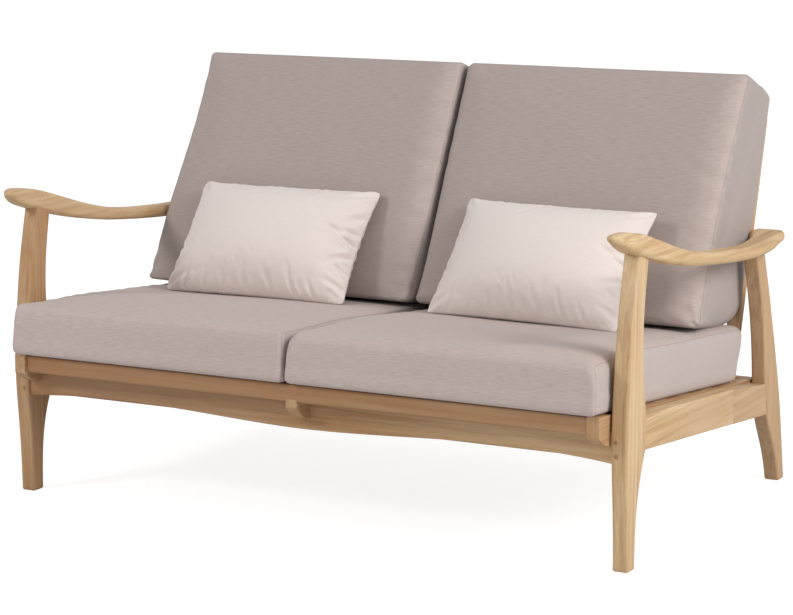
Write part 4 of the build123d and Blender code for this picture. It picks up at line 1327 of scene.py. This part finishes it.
@dataclass
class BackCushion:
    """A wedge-shaped back cushion, thick at the foot, that lies against the back."""

    side: Side
    finishes: Finishes
    arms: Armrests
    half_gap: float = 0.0024
    outer: float = 0.6380
    rear_outer: float = 0.6310
    rear_foot_in: float = 0.010
    front_outer: Numbers = (0.644, 0.637, 0.6395, 0.647)
    edge_round: float = 0.022
    corner: float = 0.016
    foot_level: float = 0.1072
    foot_depth: float = 0.2735
    foot_lift: float = 0.019
    foot_lift_from: float = 0.35
    foot_lift_reach: float = 0.35
    ahead_of_back: float = 0.0008
    head_depth: float = 0.166
    height: float = 0.4915
    head_pitch: float = math.radians(20)
    # Painted shade that darkens the back cushions' cloth.
    shade: float = 0.42
    # Painted highlight: a lighter band along each back cushion's right front edge.
    painted_highlight: float = 0.36
    painted_highlight_from: float = 0.93
    painted_highlight_run: float = 0.06
    painted_highlight_place: float = 0.012
    painted_highlight_width: float = 0.032
    pinned_share: float = 0.35
    pinned_rise: float = 0.03
    folds: Folds = Folds((
        (0.305, 0.150, 184, 0.085, 0.0120, 0.0042), (0.303, 0.098, 193, 0.100, 0.0125, 0.0052),
        (0.302, 0.044, 176, 0.110, 0.0125, 0.0056), (0.302, -0.006, 188, 0.090, 0.0120, 0.0050),
        (0.303, -0.070, 171, 0.080, 0.0120, 0.0040), (0.300, -0.214, 150, 0.070, 0.0110, 0.0048),
        (0.296, -0.226, 118, 0.055, 0.0100, 0.0044), (0.304, -0.180, 166, 0.060, 0.0110, 0.0034),
        (-0.302, -0.210, 34, 0.060, 0.0110, 0.0034), (-0.304, 0.090, 4, 0.060, 0.0140, 0.0020),
        (0.304, 0.216, 205, 0.080, 0.0130, 0.0026), (-0.120, -0.236, 84, 0.040, 0.0130, 0.0022),
        (0.080, -0.236, 98, 0.045, 0.0130, 0.0022)))

    def corners(self) -> np.ndarray:
        """The wedge's corners in side view: rear foot, front foot, rear head, front head.

        Returns:
            One row (back, up) for each corner.
        """
        pitch, lean, head = SIDE_VIEW.pitch, SIDE_VIEW.lean, self.head_pitch
        rear_foot = np.array(SIDE_VIEW.on_back(self.foot_level / math.cos(lean - pitch),
                                               self.ahead_of_back))
        front_foot = rear_foot + self.foot_depth * np.array([-math.cos(pitch), math.sin(pitch)])
        rear_head = rear_foot + self.height * np.array([math.sin(lean), math.cos(lean)])
        front_head = rear_head + self.head_depth * np.array([-math.cos(head), math.sin(head)])
        return np.array([rear_foot, front_foot, rear_head, front_head])

    def widened(self, across: np.ndarray, share: np.ndarray, rise: np.ndarray) -> np.ndarray:
        """Moves the outer side to its measured place, by the cube of the share of the way to it.

        That place goes from the rear one to the front one, a spline through points up the side.

        Args:
            across: places across the loveseat.
            share: shares of the way from the rear face to the front.
            rise: shares of the way up.

        Returns:
            The moved places across.
        """
        front = spline_through(np.linspace(0, 1, len(self.front_outer)), self.front_outer, rise)
        rear = self.rear_outer - self.rear_foot_in * np.clip(1 - rise, 0.0, 1.0) ** 2
        outer = rear + (front - rear) * np.clip(share, 0.0, 1.0)
        reach = np.clip(self.side.value * across / self.outer, 0.0, 1.0)
        return across + self.side.value * (outer - self.outer) * reach**3

    def build(self) -> None:
        """Makes, fills and places the cushion; the armrest presses its side in.

        Its four corners in side view are weighed by the shares through and up. The front foot is lifted.
        The painted highlight is a lighter band, a bell of the distance to a line beside the right front
        edge.
        """
        width = self.outer - self.half_gap
        middle = self.side.value * (self.outer + self.half_gap) / 2
        depth = (self.foot_depth + self.head_depth) / 2
        box = StuffedBox(width, self.height, depth, Sewing.FACES, corner=self.corner,
                         face_corner=self.corner + 0.002, face_edge=self.edge_round, end_edge=0.014,
                         rear_edge=0.012, crown=0.013, side_bulge=0.0020, draw_in=0.0,
                         seed=4.1 + self.side.value, foot_corner=0.055, folds=self.folds)
        flat, faces, uv = box.lattice()
        formed = box.form(flat)
        share, rise = formed[:, 2] / depth, formed[:, 1] / self.height + 0.5
        weights = np.stack([(1 - rise) * (1 - share), (1 - rise) * share,
                            rise * (1 - share), rise * share], -1)
        back, up = (weights @ self.corners()).T
        lifted = smooth((share - self.foot_lift_from) / (1 - self.foot_lift_from))
        up += self.foot_lift * lifted * np.clip(1 - rise / self.foot_lift_reach, 0.0, 1.0) ** 2
        across = self.arms.press(self.widened(middle + formed[:, 0], share, rise), back, up)
        points = np.column_stack([across, back - ORIGIN_BACK, up])
        piece = new_piece(f"back_cushion_{self.side.word}_cover", points, faces, uv)
        point_outwards(piece)
        set_field(piece, "seam", box.seam_distance(flat))
        # Painted highlight: the band takes painted shade off beside the right front edge.
        from_line = flat[:, 0] - width / 2 + self.painted_highlight_place
        band = self.painted_highlight * np.exp(-(from_line / self.painted_highlight_width) ** 2)
        band *= smooth((share - self.painted_highlight_from) / self.painted_highlight_run)
        set_field(piece, "shade", self.shade - band)
        Filling().puff(piece, (share < self.pinned_share) | (rise < self.pinned_rise))
        finish_cover(piece, self.finishes.taupe, f"back_cushion_{self.side.word}")


@dataclass
class ThrowPillow:
    """A stuffed throw pillow: two panels sewn edge to edge, leaning on the back cushion."""

    side: Side
    finishes: Finishes
    place: float
    middle: tuple[float, float]
    turn: float
    lean: float = math.radians(39.5)
    width: float = 0.433
    height: float = 0.280
    front_bulge: float = 0.082
    rear_bulge: float = 0.027
    fullness: float = 0.56
    corner: float = 0.010
    cells: tuple[int, int] = (110, 72)
    side_draw: float = 0.010
    top_draw: float = 0.008
    foot_draw: float = 0.002
    fold_depth: float = 0.75
    fold_start: float = 0.010
    panel_lift: float = 0.012
    folds: Folds = Folds((
        (0.212, -0.008, 166, 0.062, 0.0090, 0.0095), (0.213, -0.036, 202, 0.055, 0.0080, 0.0090),
        (0.213, 0.020, 198, 0.080, 0.0100, 0.0065), (0.213, 0.062, 218, 0.075, 0.0110, 0.0050),
        (0.214, -0.078, 160, 0.045, 0.0080, 0.0050), (0.210, -0.112, 150, 0.060, 0.0090, 0.0055),
        (0.208, 0.128, 222, 0.090, 0.0110, 0.0045), (0.150, -0.139, 108, 0.040, 0.0080, 0.0045),
        (0.108, -0.139, 122, 0.046, 0.0075, 0.0052), (0.052, -0.139, 100, 0.034, 0.0080, 0.0040),
        (-0.006, -0.139, 118, 0.040, 0.0085, 0.0044), (-0.062, -0.139, 96, 0.032, 0.0080, 0.0040),
        (-0.112, -0.139, 82, 0.040, 0.0085, 0.0046), (-0.165, -0.139, 66, 0.050, 0.0090, 0.0050),
        (-0.208, -0.130, 38, 0.085, 0.0100, 0.0058), (-0.212, -0.095, 20, 0.060, 0.0095, 0.0048),
        (-0.213, -0.040, -8, 0.045, 0.0090, 0.0036), (-0.212, 0.035, 12, 0.045, 0.0095, 0.0034),
        (-0.208, 0.126, -40, 0.075, 0.0100, 0.0045), (-0.120, 0.139, -82, 0.030, 0.0090, 0.0030),
        (-0.020, 0.139, -98, 0.034, 0.0095, 0.0030), (0.085, 0.139, -88, 0.030, 0.0090, 0.0030)))

    def skin(self) -> tuple[np.ndarray, np.ndarray, np.ndarray]:
        """Two flat panels that share their outer edge, a little apart in the middle.

        Returns:
            Points, faces and UV for each face corner.
        """
        columns, rows = self.cells
        ids = np.arange((columns + 1) * (rows + 1)).reshape(rows + 1, columns + 1)
        v, u = np.meshgrid(np.linspace(-1, 1, rows + 1), np.linspace(-1, 1, columns + 1), indexing="ij")
        rim = (np.abs(u) == 1) | (np.abs(v) == 1)
        lift = self.panel_lift * (1 - u**4) * (1 - v**4)
        front = np.stack([u * self.width / 2, v * self.height / 2, lift], -1).reshape(-1, 3)
        rear = front[~rim.ravel()] * [1, 1, -1]
        rear_ids = ids.copy()
        rear_ids[~rim] = ids.size + np.arange(len(rear))
        panels = []
        for sheet, order in ((ids, (0, 1, 2, 3)), (rear_ids, (3, 2, 1, 0))):
            quads = np.stack([sheet[:-1, :-1], sheet[:-1, 1:], sheet[1:, 1:], sheet[1:, :-1]], -1)
            panels.append(quads.reshape(-1, 4)[:, order])
        faces = np.vstack(panels)
        points = np.vstack([front, rear])
        return points, faces, points[faces][..., :2].reshape(-1, 2)

    def even_out(self, shaped: np.ndarray, u: np.ndarray, v: np.ndarray) -> np.ndarray:
        """Sets the size, the bulges and how far each side draws in between its corners.

        A side's draw is changed by the same amount for the whole row, less one times the square of
        the share along the side.

        Args:
            shaped: the filled pillow's points.
            u: share across of each point in the flat panel, from the middle.
            v: the same upwards.

        Returns:
            The points at their proper size.
        """
        shaped = shaped - (shaped.max(0) + shaped.min(0)) / 2
        shaped[:, 0] *= self.width / np.ptp(shaped[:, 0])
        shaped[:, 1] *= self.height / np.ptp(shaped[:, 1])
        middle_row, middle_column = np.abs(v) < 1e-6, np.abs(u) < 1e-6
        half_wide = np.abs(shaped[middle_row, 0]).max()
        top, foot = shaped[middle_column, 1].max(), -shaped[middle_column, 1].min()
        shaped[:, 0] *= 1 + ((self.width / 2 - self.side_draw) / half_wide - 1) * (1 - v**2)
        wanted = np.where(v > 0, (self.height / 2 - self.top_draw) / top,
                          (self.height / 2 - self.foot_draw) / foot)
        shaped[:, 1] *= 1 + (wanted - 1) * (1 - u**2)
        shaped[:, 2] *= np.where(shaped[:, 2] > 0, self.front_bulge / shaped[:, 2].max(),
                                 -self.rear_bulge / shaped[:, 2].min())
        return shaped

    def creases(self, flat: np.ndarray, from_rim: np.ndarray) -> np.ndarray:
        """What the folds add to the bulge: they start at the seam and die out inwards."""
        return -self.fold_depth * self.folds.depth(flat) * np.minimum(from_rim / self.fold_start, 1.0)

    def build(self) -> None:
        """Makes, fills and places the pillow.

        Before the filling each panel bulges by a power of the product of one less the square of the
        share across and the same upwards. The pillow is turned about the upright line, then leaned back.
        """
        points, faces, uv = self.skin()
        piece = new_piece(f"throw_pillow_{self.side.word}_cover", points, faces, uv)
        u, v = points[:, 0] / self.width * 2, points[:, 1] / self.height * 2
        from_rim = np.minimum((1 - np.abs(u)) * self.width, (1 - np.abs(v)) * self.height) / 2
        set_field(piece, "seam", from_rim)
        swell = np.sign(points[:, 2]) * ((1 - u**2) * (1 - v**2)) ** self.fullness
        outline = round_corners(points[:, :2], np.array([self.width, self.height]) / 2, self.corner)
        shaped = self.even_out(np.column_stack([outline, swell]), u, v)
        shaped[:, 2] += np.sign(points[:, 2]) * self.creases(points[:, :2], from_rim)
        piece.data.vertices.foreach_set("co", shaped.ravel())
        piece.data.update()
        Filling(pressure=4.0, cap=0.007, frames=16, growth=0.012, tension=15.0,
                bending=0.3).puff(piece, from_rim < 1e-9)
        shaped = read_points(piece.data)
        across, rise, ahead = shaped.T
        side_turn, lean = math.radians(self.turn), self.lean
        deep = rise * math.sin(lean) - ahead * math.cos(lean)
        up = rise * math.cos(lean) + ahead * math.sin(lean)
        x = self.place + across * math.cos(side_turn) - deep * math.sin(side_turn)
        y = self.middle[0] - ORIGIN_BACK + across * math.sin(side_turn) + deep * math.cos(side_turn)
        piece.data.vertices.foreach_set("co", np.column_stack([x, y, self.middle[1] + up]).ravel())
        piece.data.update()
        finish_cover(piece, self.finishes.cream, f"throw_pillow_{self.side.word}")


def finish_cover(piece: bpy.types.Object, material: bpy.types.Material, node: str) -> None:
    """Dresses a cover and puts it on its body.

    Args:
        piece: the cover.
        material: its cloth.
        node: the CAD node that it stands for.
    """
    piece.data.materials.append(material)
    smoother = piece.modifiers.new("finer cloth", "SUBSURF")
    smoother.levels = smoother.render_levels = 1
    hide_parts(node)
    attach(piece, node + "_body")
    log.info("%s: %d vertices", piece.name, len(piece.data.vertices))


# Studio

@dataclass(frozen=True)
class Studio:
    """Camera, soft light, pale floor and white surroundings."""

    eye: tuple[float, float, float] = (2.4676, -4.65579, 1.3058)
    down: float = math.radians(9.98)
    turn: float = math.radians(27.99)
    lens: float = 118.0
    sensor: float = 36.0
    aim: tuple[float, float, float] = (0.0, 0.0, 0.4)
    sky: Colour = (0.97, 0.985, 1.0)
    sky_level: float = 0.54
    floor_reach: float = 60.0
    floor_drop: float = 0.0004
    floor_seen: Colour = (0.42, 0.42, 0.42)
    floor_glow: float = 0.83
    floor_bounce: Colour = (0.78, 0.78, 0.78)

    def camera(self) -> None:
        """The camera at the photograph's place."""
        data = bpy.data.cameras.new("camera")
        data.lens, data.sensor_width = self.lens, self.sensor
        camera = bpy.data.objects.new("camera", data)
        camera.location = self.eye
        camera.rotation_euler = (math.pi / 2 - self.down, 0.0, self.turn)
        bpy.context.scene.collection.objects.link(camera)
        bpy.context.scene.camera = camera

    def lamp(self, name: str, place: tuple[float, float, float], size: float, power: float,
             colour: Colour) -> None:
        """A square soft lamp aimed at the middle of the loveseat.

        Args:
            name: the lamp's name.
            place: where it stands, in metres.
            size: its width.
            power: its power in watts.
            colour: its colour.
        """
        data = bpy.data.lights.new(name, "AREA")
        data.size, data.energy, data.color = size, power, colour
        lamp = bpy.data.objects.new(name, data)
        lamp.location = place
        aim = np.array(self.aim) - np.array(place)
        flat = math.hypot(aim[0], aim[1])
        lamp.rotation_euler = (math.atan2(flat, -aim[2]), 0.0, math.atan2(-aim[0], aim[1]))
        bpy.context.scene.collection.objects.link(lamp)

    def surroundings(self) -> None:
        """White to the camera and in reflections, a plain soft level to everything else."""
        world = bpy.data.worlds.new("studio")
        bpy.context.scene.world = world
        tree = Tree(world)
        path = tree.add("LightPath").outputs
        seen = tree.maths("MAXIMUM", path["Is Camera Ray"], path["Is Glossy Ray"])
        clear = tree.maths("MAXIMUM", seen, path["Is Transmission Ray"])
        soft = tree.add("Background", Color=(*self.sky, 1.0), Strength=self.sky_level)
        white = tree.add("Background", Color=WHITE, Strength=1.0)
        tree.finish(tree.mix(clear, soft, white), "OutputWorld")

    def floor(self) -> None:
        """A wide pale floor that keeps a soft shadow.

        To the camera it is a darker matt grey with a glow added, which lightens the shadow.
        """
        corners = np.array([[-1, -1, 0], [1, -1, 0], [1, 1, 0], [-1, 1, 0]])
        piece = new_piece("floor", corners * self.floor_reach - [0, 0, self.floor_drop],
                          np.array([[0, 1, 2, 3]]))
        tree = Tree(bpy.data.materials.new("floor"))
        path = tree.add("LightPath").outputs
        pale = tree.add("BsdfDiffuse", Color=(*self.floor_seen, 1.0))
        glow = tree.add("Emission", Color=WHITE, Strength=self.floor_glow)
        both = tree.add("AddShader")
        for socket, source in zip(both.inputs, (pale, glow)):
            tree.links.new(source.outputs[0], socket)
        bounce = tree.add("BsdfDiffuse", Color=(*self.floor_bounce, 1.0))
        piece.data.materials.append(tree.finish(tree.mix(path["Is Camera Ray"], bounce, both)))

    def build(self) -> None:
        """Sets the whole studio up."""
        self.camera()
        self.surroundings()
        self.floor()
        self.lamp("key", place=(4.2, -0.9, 2.7), size=2.0, power=122.0, colour=(1.0, 0.985, 0.97))
        self.lamp("fill", place=(-2.6, -3.6, 2.9), size=0.9, power=64.0, colour=(1.0, 0.99, 0.97))
        bpy.context.scene.view_settings.view_transform = "Standard"


def main() -> None:
    """Builds the loveseat and its studio."""
    logging.basicConfig(level=logging.INFO, format="%(message)s")
    Studio().build()
    finishes = Finishes.make()
    woodwork = Woodwork(finishes)
    Legs().build(woodwork)
    arms = Armrests()
    arms.build(woodwork)
    Boards(finishes).build(woodwork)
    SeatCushion(Side.LEFT, finishes, corner_round=0.012, edge_round=0.010, front_round=0.017).build()
    SeatCushion(Side.RIGHT, finishes).build()
    BackCushion(Side.LEFT, finishes, arms, front_outer=(0.648, 0.649, 0.637, 0.635), edge_round=0.010,
                corner=0.008).build()
    BackCushion(Side.RIGHT, finishes, arms).build()
    ThrowPillow(Side.LEFT, finishes, place=-0.321, middle=(0.4250, 0.4890), turn=1.3, corner=0.016,
                fold_depth=1.25).build()
    ThrowPillow(Side.RIGHT, finishes, place=0.309, middle=(0.4150, 0.4905), turn=-3.5).build()


if __name__ == "__main__":
    main()
